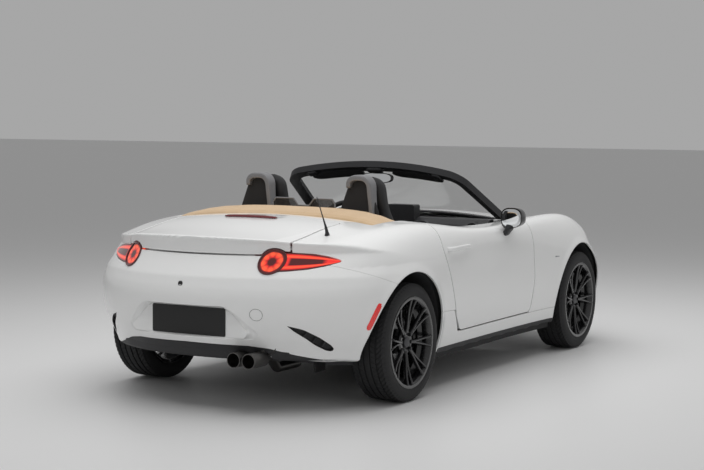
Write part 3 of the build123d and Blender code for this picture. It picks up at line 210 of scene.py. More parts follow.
def moulded(name, colour, roughness, grain=700.0, depth=0.25, **more):
    """Moulded or cast surface: a leathery grain in the bump, and a roughness that wanders a little."""
    made = Finish(name, **more)
    wander = made.noise(9.0, 3.0)
    darker = tuple(c * 0.72 for c in colour)
    return made.set(base_color=made.mix(wander, darker, colour), roughness=wander * 0.14 + (roughness - 0.07),
                    normal=made.bump(made.cells(grain), depth, 0.0004))


black_trim = moulded("grained_black_plastic", (0.022, 0.022, 0.024), 0.55)
gloss_black = moulded("gloss_black_plastic", (0.012, 0.012, 0.013), 0.12, 1500.0, 0.02, coat_weight=0.6)
plate_black = moulded("bare_black_plate", (0.012, 0.012, 0.012), 0.5, 1200.0, 0.1)
steel_dark = moulded("blackened_axle_metal", (0.10, 0.10, 0.105), 0.5, 400.0, 0.3, metallic=0.85)
alloy = moulded("cast_alloy", (0.42, 0.42, 0.42), 0.48, 350.0, 0.35, metallic=0.9)
exhaust_steel = Finish("brushed_exhaust_steel", metallic=1.0)
streaks = exhaust_steel.noise(60.0, 3.0, exhaust_steel.place((1, 30, 30)))
exhaust_steel.set(base_color=(0.16, 0.155, 0.15), roughness=streaks * 0.25 + 0.25)
clear_glass = Finish("laminated_glass", base_color=(0.93, 0.97, 0.96), roughness=0.0, transmission_weight=1.0,
                     ior=1.05)
dust = clear_glass.noise(14.0, 4.0)
clear_glass.set(alpha=dust * 0.04 + 0.10)
wheel_hide = Finish("steering_wheel_leather", base_color=(0.02, 0.02, 0.021), roughness=0.5)
print("finishes:", len(bpy.data.materials))

# %% [markdown]
# The car's own parts that stay in view get their finish by slot. The others are replaced further on by new
# pieces, which bring their own.

# %% Finishes on the car's own parts
SLOT_FINISH = {
    "black_trim": black_trim, "plate_black": plate_black, "seat_leather": wheel_hide,
    "screen_glass": clear_glass, "axle_steel": steel_dark, "exhaust_steel": exhaust_steel,
    "engine_alloy": alloy,
}
dressed = 0
for part in frame["record"]["subparts"]:
    if part["material_slot"] in SLOT_FINISH:
        skin = NODES[part["node"]].data.materials
        skin.clear()
        skin.append(SLOT_FINISH[part["material_slot"]].material)
        dressed += 1
print("dressed", dressed, "of the car's own parts")


# %% [markdown]
# ## The body as one surface
# A car body is drawn as cross-sections along its length, and its ends are rounded in plan. All outer panels
# are cut from one such surface, so highlights run across the shut lines without a step. The sections are
# given by a few points each; a natural cubic spline carries every point along the car.

# %% Stations and splines
MM = 0.001
SIDES = (("right", -1), ("left", 1))
REAR_AXLE, FRONT_AXLE, AXLE_Z = -1.106, 1.204, 0.308
AXLES_X = (REAR_AXLE, FRONT_AXLE)
ARCH_RADIUS, FLARE, FLARE_WIDTH = 0.366, 0.007, 0.030
STATION_X = np.array([-2010, -1650, -1350, -1106, -800, -400, 100, 600, 950, 1204, 1500, 1750, 2010]) * MM
SECTION_POINTS = {
    "y_low": [650, 745, 800, 812, 800, 790, 785, 790, 805, 810, 790, 740, 640],
    "z_low": [250, 246, 238, 225, 205, 200, 200, 200, 205, 210, 215, 190, 180],
    "y_wide": [760, 822, 858, 867, 860, 845, 838, 843, 858, 862, 845, 800, 700],
    "z_wide": [620, 620, 610, 600, 590, 600, 600, 590, 580, 570, 540, 510, 480],
    "y_crest": [520, 590, 655, 690, 712, 765, 772, 738, 715, 700, 662, 600, 470],
    "z_crest": [812, 838, 876, 897, 903, 862, 845, 858, 862, 838, 755, 670, 560],
    "y_valley": [380, 430, 490, 530, 570, 640, 640, 590, 560, 550, 520, 470, 370],
    "z_valley": [846, 868, 905, 918, 915, 866, 850, 845, 828, 798, 732, 665, 560],
    "z_top": [858, 893, 932, 945, 935, 880, 870, 880, 866, 832, 768, 700, 580],
}


def spline(knots, values, at):
    """Natural cubic spline: its second derivatives m solve h0 m0 + 2 (h0 + h1) m1 + h1 m2 = 6 (s1 - s0)."""
    values = np.asarray(values, float)
    step = np.diff(knots)
    slope = np.diff(values) / step
    count = len(knots)
    system = np.eye(count)
    rows = np.arange(1, count - 1)
    system[rows, rows - 1] = step[:-1]
    system[rows, rows] = 2 * (step[:-1] + step[1:])
    system[rows, rows + 1] = step[1:]
    right = np.zeros(count)
    right[1:-1] = 6 * np.diff(slope)
    bend = np.linalg.solve(system, right)
    k = np.clip(np.searchsorted(knots, at) - 1, 0, count - 2)
    t, h = at - knots[k], step[k]
    return (values[k] + t * (slope[k] - h * (2 * bend[k] + bend[k + 1]) / 6)
            + t**2 * bend[k] / 2 + t**3 * (bend[k + 1] - bend[k]) / (6 * h))


LONG = np.linspace(STATION_X[0], STATION_X[-1], 403)
LINES = {name: spline(STATION_X, np.array(row) * MM, LONG) for name, row in SECTION_POINTS.items()}
print("the crest line climbs to", round(float(LINES["z_crest"].max()), 3), "m")


# %% [markdown]
# Each section is joined up from the sill to the middle of the deck by four short curves. The result is kept
# as a table of radii, one for each place along the car and each angle round its middle line, so that the
# surface can be asked at any point.

# %% Sections as a table of radii
AXIS_TAIL_Z, AXIS_NOSE_Z = 0.452, 0.335
SPINE_TAIL_X, SPINE_NOSE_X = -1.30, 1.30


def axis_z(x):
    """Height of the middle line: a smoothstep 3 t^2 - 2 t^3 from the plate to the air intake."""
    t = np.clip((x - SPINE_TAIL_X) / (SPINE_NOSE_X - SPINE_TAIL_X), 0, 1)
    return AXIS_TAIL_Z + (AXIS_NOSE_Z - AXIS_TAIL_Z) * t * t * (3 - 2 * t)


def section_curves():
    """Points (y, z) of every half section: two parabolas, a Hermite shoulder and a straight crest."""
    c = {name: row[:, None] for name, row in LINES.items()}
    t = np.linspace(0, 1, 60)[None, :]
    floor = (c["y_low"] * t, c["z_low"] + 0 * t)
    flank = (c["y_wide"] - (c["y_wide"] - c["y_low"]) * (1 - t) ** 2,
             c["z_low"] + (c["z_wide"] - c["z_low"]) * t)
    y0, z0, y1, z1 = c["y_wide"], c["z_wide"], c["y_crest"], c["z_crest"]
    chord = np.hypot(y1 - y0, z1 - z0)
    way_y, way_z = c["y_valley"] - y1, c["z_valley"] - z1
    size = np.hypot(way_y, way_z)
    h1, h2 = t**3 - 2 * t**2 + t, t**3 - t**2
    h3 = 3 * t**2 - 2 * t**3
    shoulder = (y0 + (y1 - y0) * h3 + chord * 1.15 * h2 * way_y / size,
                z0 + (z1 - z0) * h3 + chord * 1.15 * (h1 + h2 * way_z / size))
    crest = (y1 + way_y * t, z1 + way_z * t)
    deck_y = c["y_valley"] * (1 - t)
    deck = (deck_y, c["z_top"] - (c["z_top"] - c["z_valley"]) * (1 - t) ** 2)
    parts = (floor, flank, shoulder, crest, deck)
    return np.concatenate([p[0] for p in parts], 1), np.concatenate([p[1] for p in parts], 1)


ANGLES = np.linspace(-math.pi / 2, math.pi / 2, 721)
curve_y, curve_z = section_curves()
curve_z = curve_z - axis_z(LONG)[:, None]
RADII = np.array([np.interp(ANGLES, np.arctan2(z, y + 1e-9), np.hypot(y, z))
                  for y, z in zip(curve_y, curve_z)])
print("table of radii:", RADII.shape)

# %% [markdown]
# The ends are round seen from above: a large circle whose distance from the end changes with height, as
# the tail's and the nose's profiles say. Where the rounded end meets the flank, a smooth maximum of the
# two distances turns the corner.

# %% Rounded ends and the whole form
TAIL, NOSE = -1, 1
END_X = {TAIL: -1.9575, NOSE: 1.9575}
PLAN_RADIUS = {TAIL: 1.00, NOSE: 1.35}
NOSE_CORNER = 0.13
PROFILE = {
    TAIL: ([70, 87, 104, 106, 30, 4, 2, 10, 42, 80, 130],
           [1000, 876, 838, 788, 676, 600, 540, 470, 370, 300, 100]),
    NOSE: ([150, 140, 40, 0, 8, 50, 90], [1000, 655, 560, 470, 330, 210, 100]),
}
HEIGHTS = np.linspace(0.1, 1.0, 901)
SHARP_RUN, BROAD_RUN = 9, 61


def profile_table(end):
    """Distance in from the end for each height: the given line, run smooth.

    The run is 9 mm long above 0.66 m at the tail and 61 mm long elsewhere, and goes over it twice.
    """
    back, height = (np.array(row) * MM for row in PROFILE[end])
    line = np.interp(HEIGHTS, height[::-1], back[::-1])
    runs = {}
    for width in (SHARP_RUN, BROAD_RUN):
        padded = np.pad(line, width, mode="edge")
        kernel = np.convolve(np.ones(width) / width, np.ones(width) / width)
        runs[width] = np.convolve(padded, kernel, "same")[width:-width]
    low = np.clip((0.66 - HEIGHTS) / 0.05, 0, 1) if end == TAIL else 1.0
    return runs[SHARP_RUN] * (1 - low) + runs[BROAD_RUN] * low


BACK = {end: profile_table(end) for end in (TAIL, NOSE)}


def smooth_max(a, b, k):
    """max(a, b) + k/4 (1 - |a - b| / k)^2 where the two are nearer than k."""
    near = np.clip(1 - np.abs(a - b) / k, 0, 1)
    return np.maximum(a, b) + k / 4 * near**2


def section_gap(x, y, z):
    """Distance outside the section through x, along the radius from the middle line."""
    up = z - axis_z(x)
    angle = np.arctan2(up, np.abs(y))
    i = np.clip((x - LONG[0]) / (LONG[1] - LONG[0]), 0, len(LONG) - 1.001)
    j = np.clip((angle - ANGLES[0]) / (ANGLES[1] - ANGLES[0]), 0, len(ANGLES) - 1.001)
    a, b = i.astype(int), j.astype(int)
    u, v = i - a, j - b
    radius = (RADII[a, b] * (1 - u) * (1 - v) + RADII[a + 1, b] * u * (1 - v)
              + RADII[a, b + 1] * (1 - u) * v + RADII[a + 1, b + 1] * u * v)
    return np.hypot(y, up) - radius


def end_gap(x, y, z, end):
    """Distance outside the rounded end, in plan."""
    radius = PLAN_RADIUS[end]
    centre = END_X[end] - end * radius
    back = np.interp(z, HEIGHTS, BACK[end])
    return np.where(end * (x - centre) > 0, np.hypot(x - centre, y), np.abs(y)) - (radius - back)


def body_gap(x, y, z):
    """Signed distance, more or less, outside the body, with a flare 7 mm exp(-(r / 30 mm)^2) at each arch."""
    corner = 0.012 + 0.09 * np.clip((0.80 - z) / 0.08, 0, 1)
    gap = smooth_max(section_gap(x, y, z), end_gap(x, y, z, TAIL), corner)
    gap = smooth_max(gap, end_gap(x, y, z, NOSE), NOSE_CORNER)
    for axle_x in AXLES_X:
        ring = np.hypot(x - axle_x, z - AXLE_Z) - ARCH_RADIUS
        gap = gap - FLARE * np.exp(-(ring / FLARE_WIDTH) ** 2) * np.clip((np.abs(y) - 0.6) / 0.1, 0, 1)
    return gap


print("the tail's end line is", round(float(body_gap(END_X[TAIL], 0.0, 0.58)), 4), "m off the form")

# %% [markdown]
# Rays from the middle line find the surface. Along the cabin they stand square to it, and at both ends they
# fan out, so the grid closes like a capsule. Its two poles fall in the plate's recess and in the air intake,
# which are cut out afterwards.

# %% Rays that find the surface
FAN_STEPS, SPINE_STEPS = 92, 190
FLOOR_RAYS, SIDE_RAYS = 20, 132


def ray_grid():
    """Starts and directions: (-+sin f, cos f cos a, cos f sin a) from the spine's ends, f = 0 in between."""
    fan = np.linspace(math.pi / 2, 0, FAN_STEPS, endpoint=False)
    spine = np.linspace(SPINE_TAIL_X, SPINE_NOSE_X, SPINE_STEPS)
    tilt = np.concatenate([-fan, np.zeros(SPINE_STEPS), fan[::-1]])
    start = np.concatenate([np.full(FAN_STEPS, SPINE_TAIL_X), spine, np.full(FAN_STEPS, SPINE_NOSE_X)])
    middle = np.searchsorted(LONG, -0.9)
    y, z = curve_y[middle], curve_z[middle]
    run = np.concatenate([[0], np.cumsum(np.hypot(np.diff(y), np.diff(z)))])
    floor_run = run[59]
    steps = np.concatenate([np.linspace(0, floor_run, FLOOR_RAYS, endpoint=False),
                            np.linspace(floor_run, run[-1], SIDE_RAYS)])
    half = np.interp(steps, run, np.unwrap(np.arctan2(z, y + 1e-9)))
    around = np.concatenate([half[:-1], math.pi - half[::-1]])[:-1]
    a, f = np.meshgrid(around, tilt)
    starts = np.stack([start[:, None] + 0 * a, 0 * a, axis_z(start)[:, None] + 0 * a], -1)
    ways = np.stack([np.sin(f), np.cos(f) * np.cos(a), np.cos(f) * np.sin(a)], -1)
    return starts, ways


def found_on(starts, ways, gap, reach=1.3, halvings=26):
    """Bisection along every ray at once: the point where gap turns positive."""
    near, far = np.zeros(starts.shape[:-1]), np.full(starts.shape[:-1], reach)
    for _ in range(halvings):
        mid = (near + far) / 2
        point = starts + ways * mid[..., None]
        outside = gap(point[..., 0], point[..., 1], point[..., 2]) > 0
        near, far = np.where(outside, near, mid), np.where(outside, mid, far)
    return starts + ways * ((near + far) / 2)[..., None]


def slope_of(gap, points, step=0.0015):
    """Unit gradient of gap at points, by central differences: the surface's normal."""
    grad = np.stack([gap(*np.moveaxis(points + w, -1, 0)) - gap(*np.moveaxis(points - w, -1, 0))
                     for w in np.eye(3) * step], -1)
    return grad / np.linalg.norm(grad, axis=-1, keepdims=True)


starts, ways = ray_grid()
body_points = found_on(starts, ways, body_gap)
body_normals = slope_of(body_gap, body_points)
rows, columns = body_points.shape[:2]
print("body surface:", rows, "x", columns, "points,", round(float(np.ptp(body_points[..., 0])), 3), "m long")


# %% [markdown]
# ## Cutting panels
# A panel is the part of the surface for which some numbers are negative: the signed distance to its outline
# seen from the side, from above or from behind, and the same with the other sign for holes. Triangles that
# straddle a zero line are cut along it, so a shut line is exact and not stepped.

# %% Scissors
def grid_triangles(count_u, count_v):
    """Two triangles for each cell of a grid that is closed along its second axis."""
    i, j = np.meshgrid(np.arange(count_u - 1), np.arange(count_v), indexing="ij")
    k = (j + 1) % count_v
    a, b, c, d = i * count_v + j, (i + 1) * count_v + j, (i + 1) * count_v + k, i * count_v + k
    return np.concatenate([np.stack([a, b, c], -1).reshape(-1, 3), np.stack([a, c, d], -1).reshape(-1, 3)])


def cut(points, normals, triangles, g):
    """Keeps the side where g < 0; a cut edge from p to q is split at p + (q - p) g_p / (g_p - g_q)."""
    inside = g < 0
    count = inside[triangles].sum(1)
    kept = [triangles[count == 3]]
    pairs, corners = [], []
    for number in (1, 2):
        some = triangles[count == number]
        lone = np.argmax(inside[some] == (number == 1), axis=1)
        some = np.take_along_axis(some, (lone[:, None] + np.arange(3)) % 3, 1)
        corners.append(some)
        pairs += [some[:, [0, 1]], some[:, [0, 2]]]
    sizes = [len(p) for p in pairs]
    edges, back = np.unique(np.sort(np.concatenate(pairs), axis=1), axis=0, return_inverse=True)
    back = back.reshape(-1)
    share = (g[edges[:, 0]] / (g[edges[:, 0]] - g[edges[:, 1]]))[:, None]
    new = [v[edges[:, 0]] + (v[edges[:, 1]] - v[edges[:, 0]]) * share for v in (points, normals)]
    ab1, ac1, ab2, ac2 = np.split(back + len(points), np.cumsum(sizes)[:-1])
    kept.append(np.stack([corners[0][:, 0], ab1, ac1], -1))
    kept.append(np.stack([ab2, corners[1][:, 1], corners[1][:, 2]], -1))
    kept.append(np.stack([ab2, corners[1][:, 2], ac2], -1))
    triangles = np.concatenate(kept)
    used, triangles = np.unique(triangles, return_inverse=True)
    points, normals = (np.concatenate([old, add])[used] for old, add in zip((points, normals), new))
    return points, normals, triangles.reshape(-1, 3)


def polygon_gap(u, v, corners):
    """Signed distance to a polygon: the least to an edge, negative where a ray crosses an odd number."""
    corners = np.asarray(corners, float) * MM
    best, inside = np.full(u.shape, 1e9), np.zeros(u.shape, bool)
    for (u0, v0), (u1, v1) in zip(corners, np.roll(corners, -1, 0)):
        du, dv = u1 - u0, v1 - v0
        t = np.clip(((u - u0) * du + (v - v0) * dv) / (du * du + dv * dv), 0, 1)
        best = np.minimum(best, np.hypot(u - u0 - du * t, v - v0 - dv * t))
        inside ^= ((v0 > v) != (v1 > v)) & (u < du * (v - v0) / (dv if dv else 1e-12) + u0)
    return np.where(inside, -best, best)


def box_gap(x, y, z, low, high):
    """Signed distance, more or less, to a block between two corners in millimetres."""
    low, high = np.array(low) * MM, np.array(high) * MM
    gaps = [np.maximum(low[i] - c, c - high[i]) for i, c in enumerate((x, y, z))]
    return np.maximum(np.maximum(gaps[0], gaps[1]), gaps[2])


def rounded_corners(corners, rounds, steps=8):
    """The outline with arcs of the given radii in place of some corners."""
    out = []
    corners = [Vector(c) for c in corners]
    for index, corner in enumerate(corners):
        radius = rounds.get(index, 0)
        if not radius:
            out.append(tuple(corner))
            continue
        before = (corners[index - 1] - corner).normalized()
        after = (corners[(index + 1) % len(corners)] - corner).normalized()
        half = before.angle(after) / 2
        centre = corner + (before + after).normalized() * (radius / math.sin(half))
        first = before * (radius / math.tan(half)) + corner - centre
        last = after * (radius / math.tan(half)) + corner - centre
        for t in np.linspace(0, 1, steps):
            out.append(tuple(centre + (first * (1 - t) + last * t).normalized() * radius))
    return out


body_triangles = grid_triangles(rows, columns)[:, ::-1]
body_points, body_normals = body_points.reshape(-1, 3), body_normals.reshape(-1, 3)
print("triangles before cutting:", len(body_triangles))


# %% [markdown]
# A panel is a closed shell: the cut skin, a rolled edge of a few rings, and the same skin again a little
# further in. A ring at angle a lies at P + S r sin a - N r (1 - cos a), where N is the surface's normal and S
# points out of the panel within the surface.

# %% Shells with rolled edges
EDGE_ROUND = 0.0016
BODY_OF = {node: body for body, nodes in frame["record"]["behaviour"]["bodies"].items() for node in nodes}


def mesh_piece(name, points, faces, finish, normals=None):
    """Mesh object from whole arrays, shaded smooth, with its own normals where they are known."""
    mesh = bpy.data.meshes.new(name)
    mesh.from_pydata(np.asarray(points, float).tolist(), [], [list(map(int, face)) for face in faces])
    mesh.polygons.foreach_set("use_smooth", np.ones(len(mesh.polygons), bool))
    if normals is not None:
        mesh.normals_split_custom_set_from_vertices(np.asarray(normals, float).tolist())
    mesh.materials.append(finish.material)
    piece = bpy.data.objects.new(name, mesh)
    bpy.context.scene.collection.objects.link(piece)
    return piece


def settle(piece, body, slot, *replaced):
    """Attaches the piece to the body that carries it and hides the CAD nodes it stands for; slot is not used.
    """
    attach(piece, body)
    if replaced:
        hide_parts(*replaced)
    return piece


def rim_of(points, normals, triangles):
    """Edges that one triangle has alone, the points on them, and at each the way out of the panel."""
    edges = triangles[:, [0, 1, 1, 2, 2, 0]].reshape(-1, 2)
    _, first, count = np.unique(np.sort(edges, 1), axis=0, return_index=True, return_counts=True)
    edges = edges[first[count == 1]]
    rim, ends = np.unique(edges, return_inverse=True)
    ends = ends.reshape(-1, 2)
    along = points[edges[:, 1]] - points[edges[:, 0]]
    out = np.zeros((len(rim), 3))
    for end in (0, 1):
        np.add.at(out, ends[:, end], np.cross(along, normals[edges[:, end]]))
    out -= normals[rim] * np.sum(out * normals[rim], axis=1, keepdims=True)
    return rim, ends, out / np.maximum(np.linalg.norm(out, axis=1, keepdims=True), 1e-12)


def shell(name, skin, thickness, finish, inward=0.0, proud=0.0, edge=EDGE_ROUND):
    """Closed shell of a cut skin; its inside lies thickness down the normal, and inward to the middle."""
    points, normals, triangles = skin
    points = points + normals * proud
    rim, ends, out = rim_of(points, normals, triangles)
    p, n, m = points[rim], normals[rim], len(rim)
    sideways = np.zeros_like(normals)
    sideways[:, 1] = -np.sign(points[:, 1]) * np.abs(normals[:, 1]) * inward
    rings, ring_normals = [], []
    for angle in (0.5, 1.05, math.pi / 2):
        rings.append(p + out * edge * math.sin(angle) - n * edge * (1 - math.cos(angle)))
        ring_normals.append(n * math.cos(angle) + out * math.sin(angle))
    rings.append(p + out * edge - n * thickness + sideways[rim])
    ring_normals.append(out)
    inner = np.setdiff1d(np.arange(len(points)), rim)
    place = np.empty(len(points), int)
    place[rim] = len(points) + 3 * m + np.arange(m)
    place[inner] = len(points) + 4 * m + np.arange(len(inner))
    all_points = np.concatenate([points, *rings, (points - normals * thickness + sideways)[inner]])
    all_normals = np.concatenate([normals, *ring_normals, -normals[inner]])
    faces = [triangles, place[triangles][:, ::-1]]
    levels = [rim, *(len(points) + k * m + np.arange(m) for k in range(4))]
    for low, high in zip(levels, levels[1:]):
        a, b, c, d = low[ends[:, 0]], low[ends[:, 1]], high[ends[:, 1]], high[ends[:, 0]]
        faces += [np.stack([b, a, d], -1), np.stack([b, d, c], -1)]
    return mesh_piece(name, all_points, np.concatenate(faces), finish, all_normals)


def both_sides(outline):
    """An outline with its mirror image, for views in which the middle of the car is at zero."""
    return [*outline, *[(u, -v) for u, v in reversed(outline) if v]]


# Each function below gives a gap: a function of x, y and z that is negative inside, in metres.
def seen_from_side(outline):
    return lambda x, y, z: polygon_gap(x, z, outline)


def seen_from_above(outline):
    outline = both_sides(outline)
    return lambda x, y, z: polygon_gap(x, y, outline)


def seen_from_end(outline):
    """An end view; an outline that starts and ends at the middle is mirrored there."""
    if outline[0][0] == 0:
        outline = [*outline, *[(-u, v) for u, v in reversed(outline) if u]]
        return lambda x, y, z: polygon_gap(y, z, outline)
    return lambda x, y, z: polygon_gap(np.abs(y), z, outline)


ALONG, UP = 0, 2


def at_least(axis, value):
    return lambda *p: value * MM - p[axis]


def at_most(axis, value):
    return lambda *p: p[axis] - value * MM


def wide_of(value):
    return lambda x, y, z: value * MM - np.abs(y)


def both(*gaps):
    return lambda *p: np.maximum.reduce([gap(*p) for gap in gaps])


def either(*gaps):
    return lambda *p: np.minimum.reduce([gap(*p) for gap in gaps])


def clear_of(gap, by):
    return lambda *p: by * MM - gap(*p)


def block(low, high):
    return lambda x, y, z: box_gap(x, y, z, low, high)


def round_hole(x0, z0, radius):
    return lambda x, y, z: np.hypot(x - x0, z - z0) - radius


def skin_of(*gaps, edge=EDGE_ROUND):
    """The body's skin cut by each gap in turn, a rolled edge short of every line."""
    skin = (body_points, body_normals, body_triangles)
    for gap in gaps:
        skin = cut(*skin, gap(*skin[0].T) + edge)
    return skin


print("edges roll over", EDGE_ROUND * 1000, "mm")

# %% [markdown]
# The outlines follow the car's own shut lines. Their numbers are millimetres: along and up for the flank,
# along and across for the deck, across and up for the ends. The middles and radii of lamps and pipes are in
# metres.

# %% Shut lines
SHUT_GAP, JOINT_GAP = 7, 1.6
LAMP_Y, LAMP_Z, LAMP_RADIUS = 0.421, 0.754, 0.059
DOOR_LINE = rounded_corners(((-742, 1000), (-739, 762), (-545, 378), (-470, 300), (488, 303), (504, 500),
                             (474, 700), (415, 1000)), {1: 100, 2: 45, 3: 45, 4: 30})
HOOD_LINE = ((668, 0), (655, 200), (630, 430), (606, 592), (950, 560), (1204, 550), (1500, 520), (1750, 470),
             (1822, 420), (1850, 200), (1858, 0))
LID_LINE = ((-1235, 0), (-1235, 492), (-1700, 488), (-1760, 485), (-2000, 485), (-2000, 0))
LAMP_LINE = ((421, 796), (500, 795), (580, 789), (640, 776), (688, 758), (690, 752), (640, 733), (580, 720),
             (500, 711), (421, 708))
HEADLAMP_LINE = ((440, 592), (462, 572), (640, 590), (742, 640), (705, 672), (560, 640))
VALANCE_LINE = ((0, 345), (330, 338), (420, 325), (520, 292), (620, 265), (800, 252), (1000, 245),
                (1000, 50), (0, 50))
PLATE_LINE = rounded_corners(((0, 537), (238, 537), (292, 503), (388, 402), (362, 374), (0, 374)),
                             {1: 45, 2: 90, 3: 12, 4: 20})
DUCT_LINE = rounded_corners(((519, 446), (543, 418), (583, 381), (612, 344), (643, 316), (662, 309),
                             (676, 321), (669, 344), (639, 383), (583, 426)),
                            {1: 40, 2: 90, 3: 90, 4: 20, 5: 10, 6: 9, 7: 20, 8: 80, 9: 80})
MOUTH_LINE = rounded_corners(((420, 240), (420, 430), (-420, 430), (-420, 240)), {0: 55, 1: 55, 2: 55, 3: 55})
COWL_LINE = ((545, 0), (545, 590), (599, 590), (623, 430), (648, 200), (661, 0))
BUMPER_SIDE = ((-1150, 100), (-1150, 580.5), (-1387, 659.7), (-1686, 759.7), (-2100, 759.7), (-2100, 100))
NOSE_SIDE = ((1475, 50), (1475, 296), (1500.6, 500), (1560.6, 599.4), (1650, 624.4), (2100, 624.4),
             (2100, 50))
WING_SIDE = ((440, 1100), (430, 297), (1474, 297), (1500, 500), (1560, 600), (1650, 625), (2100, 625),
             (2100, 1100))
QUARTER_SIDE = ((-560, 423), (-800, 431.5), (-1150, 581), (-1387, 660), (-1686, 760), (-2200, 760),
                (-2200, 1100), (-560, 1100))
SILL_SIDE = ((-800, 212), (900, 212), (900, 296), (-500, 296), (-590, 423), (-800, 431))
SILL_STRIP = ((-735, 190), (850, 190), (850, 228), (-735, 228))
REFLECTOR_LINE = ((-1414, 545), (-1439, 541), (-1458, 508), (-1474, 474), (-1492, 424), (-1489, 415),
                  (-1474, 405), (-1468, 409), (-1453, 450), (-1439, 484), (-1418, 524))
REPEATER_LINE = ((780, 610), (786, 622), (850, 622), (856, 610))
PIPE_Y, PIPE_Z, PIPE_HOLE = (-0.289, -0.376), 0.275, 0.044
BEHIND, AHEAD = at_most(ALONG, -1500), at_least(ALONG, 1500)


def lamp_round(x, y, z):
    """Distance outside the round part of either tail lamp."""
    return np.hypot(np.abs(y) - LAMP_Y, z - LAMP_Z) - LAMP_RADIUS


def tailpipes(x, y, z):
    """Distance outside the holes for the two exhaust tips."""
    return np.minimum.reduce([np.hypot(y - pipe_y, z - PIPE_Z) for pipe_y in PIPE_Y]) - PIPE_HOLE


door_area = both(seen_from_side(DOOR_LINE), wide_of(692))
hood_area = both(seen_from_above(HOOD_LINE), at_least(UP, 450))
lid_area = both(seen_from_above(LID_LINE), at_least(UP, 788))
arches = either(*(round_hole(x, AXLE_Z, ARCH_RADIUS) for x in AXLES_X))
lamp_area = both(either(lamp_round, seen_from_end(LAMP_LINE)), BEHIND)
headlamp_area = both(seen_from_end(HEADLAMP_LINE), AHEAD)
valance_area = both(seen_from_end(VALANCE_LINE), at_most(ALONG, -1560))
plate_area = both(seen_from_end(PLATE_LINE), BEHIND)
duct_area = both(seen_from_end(DUCT_LINE), BEHIND)
mouth_area = both(lambda x, y, z: polygon_gap(y, z, MOUTH_LINE), AHEAD)
bumper_area = either(seen_from_side(BUMPER_SIDE), block((-2100, -421, 700), (-1700, 421, 781)))
nose_area = either(seen_from_side(NOSE_SIDE), block((1700, -440, 600), (2100, 440, 900)))
cabin_side = either(block((-1128, -622, 500), (-780, 622, 1200)),
                    block((-780, -655, 500), (-300, 655, 1200)),
                    block((-744, -706, 500), (-300, 706, 1200)))
screen_foot = block((250, -590.8, 500), (680, 590.8, 1100))
lid_sides = block((-2200, -485, 600), (-1700, 485, 800))
print("door outline has", len(DOOR_LINE), "corners")

# %% [markdown]
# Each panel is what its own outline leaves of the skin, less the lines of its neighbours: a running gap
# round what moves, a fine joint round the lamps and nothing round an arch.

# %% Painted panels
off_door, off_hood, off_lid = (clear_of(area, SHUT_GAP) for area in (door_area, hood_area, lid_area))
off_lamps, off_headlamps = clear_of(lamp_area, JOINT_GAP), clear_of(headlamp_area, JOINT_GAP)
off_arches = clear_of(arches, 0)
THIN, THICK, DOOR_IN = 8, 10, 62
PANELS = {
    "hood": (THIN, hood_area),
    "trunk_lid": (THIN, lid_area, clear_of(lamp_area, SHUT_GAP)),
    "front_wings": (THICK, seen_from_side(WING_SIDE), wide_of(440.8), clear_of(screen_foot, 0), off_door,
                    off_hood, off_headlamps, off_arches),
    "sills": (THICK, seen_from_side(SILL_SIDE), wide_of(500), off_door, off_arches),
    "rear_quarters": (THICK, seen_from_side(QUARTER_SIDE), off_door, off_lid, clear_of(lid_sides, 0),
                      clear_of(cabin_side, 0), off_lamps, off_arches),
    "rear_bumper": (THIN, bumper_area, clear_of(valance_area, JOINT_GAP), off_lamps, off_arches,
                    clear_of(plate_area, 0), clear_of(duct_area, 0)),
    "front_bumper": (THIN, nose_area, off_hood, off_arches, clear_of(mouth_area, 0), off_headlamps,
                     at_least(UP, 190)),
}
for name, (thickness, *gaps) in PANELS.items():
    skin = skin_of(*gaps)
    settle(shell(name + "_skin", skin, thickness * MM, paint), BODY_OF[name], "body_paint", name)
    print(name, len(skin[2]), "triangles outside")
for side, sign in SIDES:
    skin = skin_of(door_area, lambda x, y, z: -y * sign)
    piece = shell(f"door_{side}_skin", skin, THIN * MM, paint, DOOR_IN * MM)
    settle(piece, f"door_{side}", "body_paint", f"door_{side}")

# %% Black panels
skin = skin_of(valance_area, clear_of(tailpipes, 0), at_least(UP, 262))
settle(shell("rear_valance_skin", skin, THIN * MM, black_trim), "car_body", "black_trim", "rear_valance")
skin = skin_of(seen_from_above(COWL_LINE), at_least(UP, 600))
settle(shell("cowl_skin", skin, THIN * MM, black_trim), "car_body", "black_trim", "cowl")
skin = skin_of(seen_from_side(SILL_STRIP), wide_of(500), clear_of(arches, 4))
settle(shell("sill_strips", skin, 4 * MM, black_trim, proud=2.5 * MM), "car_body", "black_trim")
print("black panels are on")

# %% [markdown]
# The tail lamp is one lens. Its light is drawn by distance: d from the middle of the round part, and for the
# pointed part v, the height above its middle line as a share of the half height 46 (1 - t^2.4) mm.

# %% Lamps
lamp_lens = Finish("glowing_red_lens", roughness=0.07, coat_weight=1.0, emission_strength=1.0)
where = lamp_lens.place()
across, up = lamp_lens.axis(where, "Y").abs(), lamp_lens.axis(where, "Z")
out, above = across - LAMP_Y, up - LAMP_Z
d = (out * out + above * above) ** 0.5
t = (out * (1 / 0.275)).clamp()
v = above.abs() / ((1.0 - t ** 2.4) * 0.046 + 0.001)
ring = d.between(0.016, 0.024) * (1.0 - d.between(0.043, 0.049))
in_tail = d.between(0.057, 0.061)
slot_length = across.between(0.490, 0.500) * (1.0 - across.between(0.625, 0.645))
slot = in_tail * (1.0 - v.between(0.34, 0.42)) * slot_length
glow_tail = in_tail * (1.0 - v.between(0.70, 0.86)) * (1.0 - slot)
turn = lamp_lens.node("ShaderNodeMath", {"operation": "ARCTAN2"}, {0: above, 1: out})
ribs = (turn * 8.0).sin().between(-0.6, 0.6)
glow = (ring * (ribs * 0.35 + 0.65) + glow_tail).clamp()
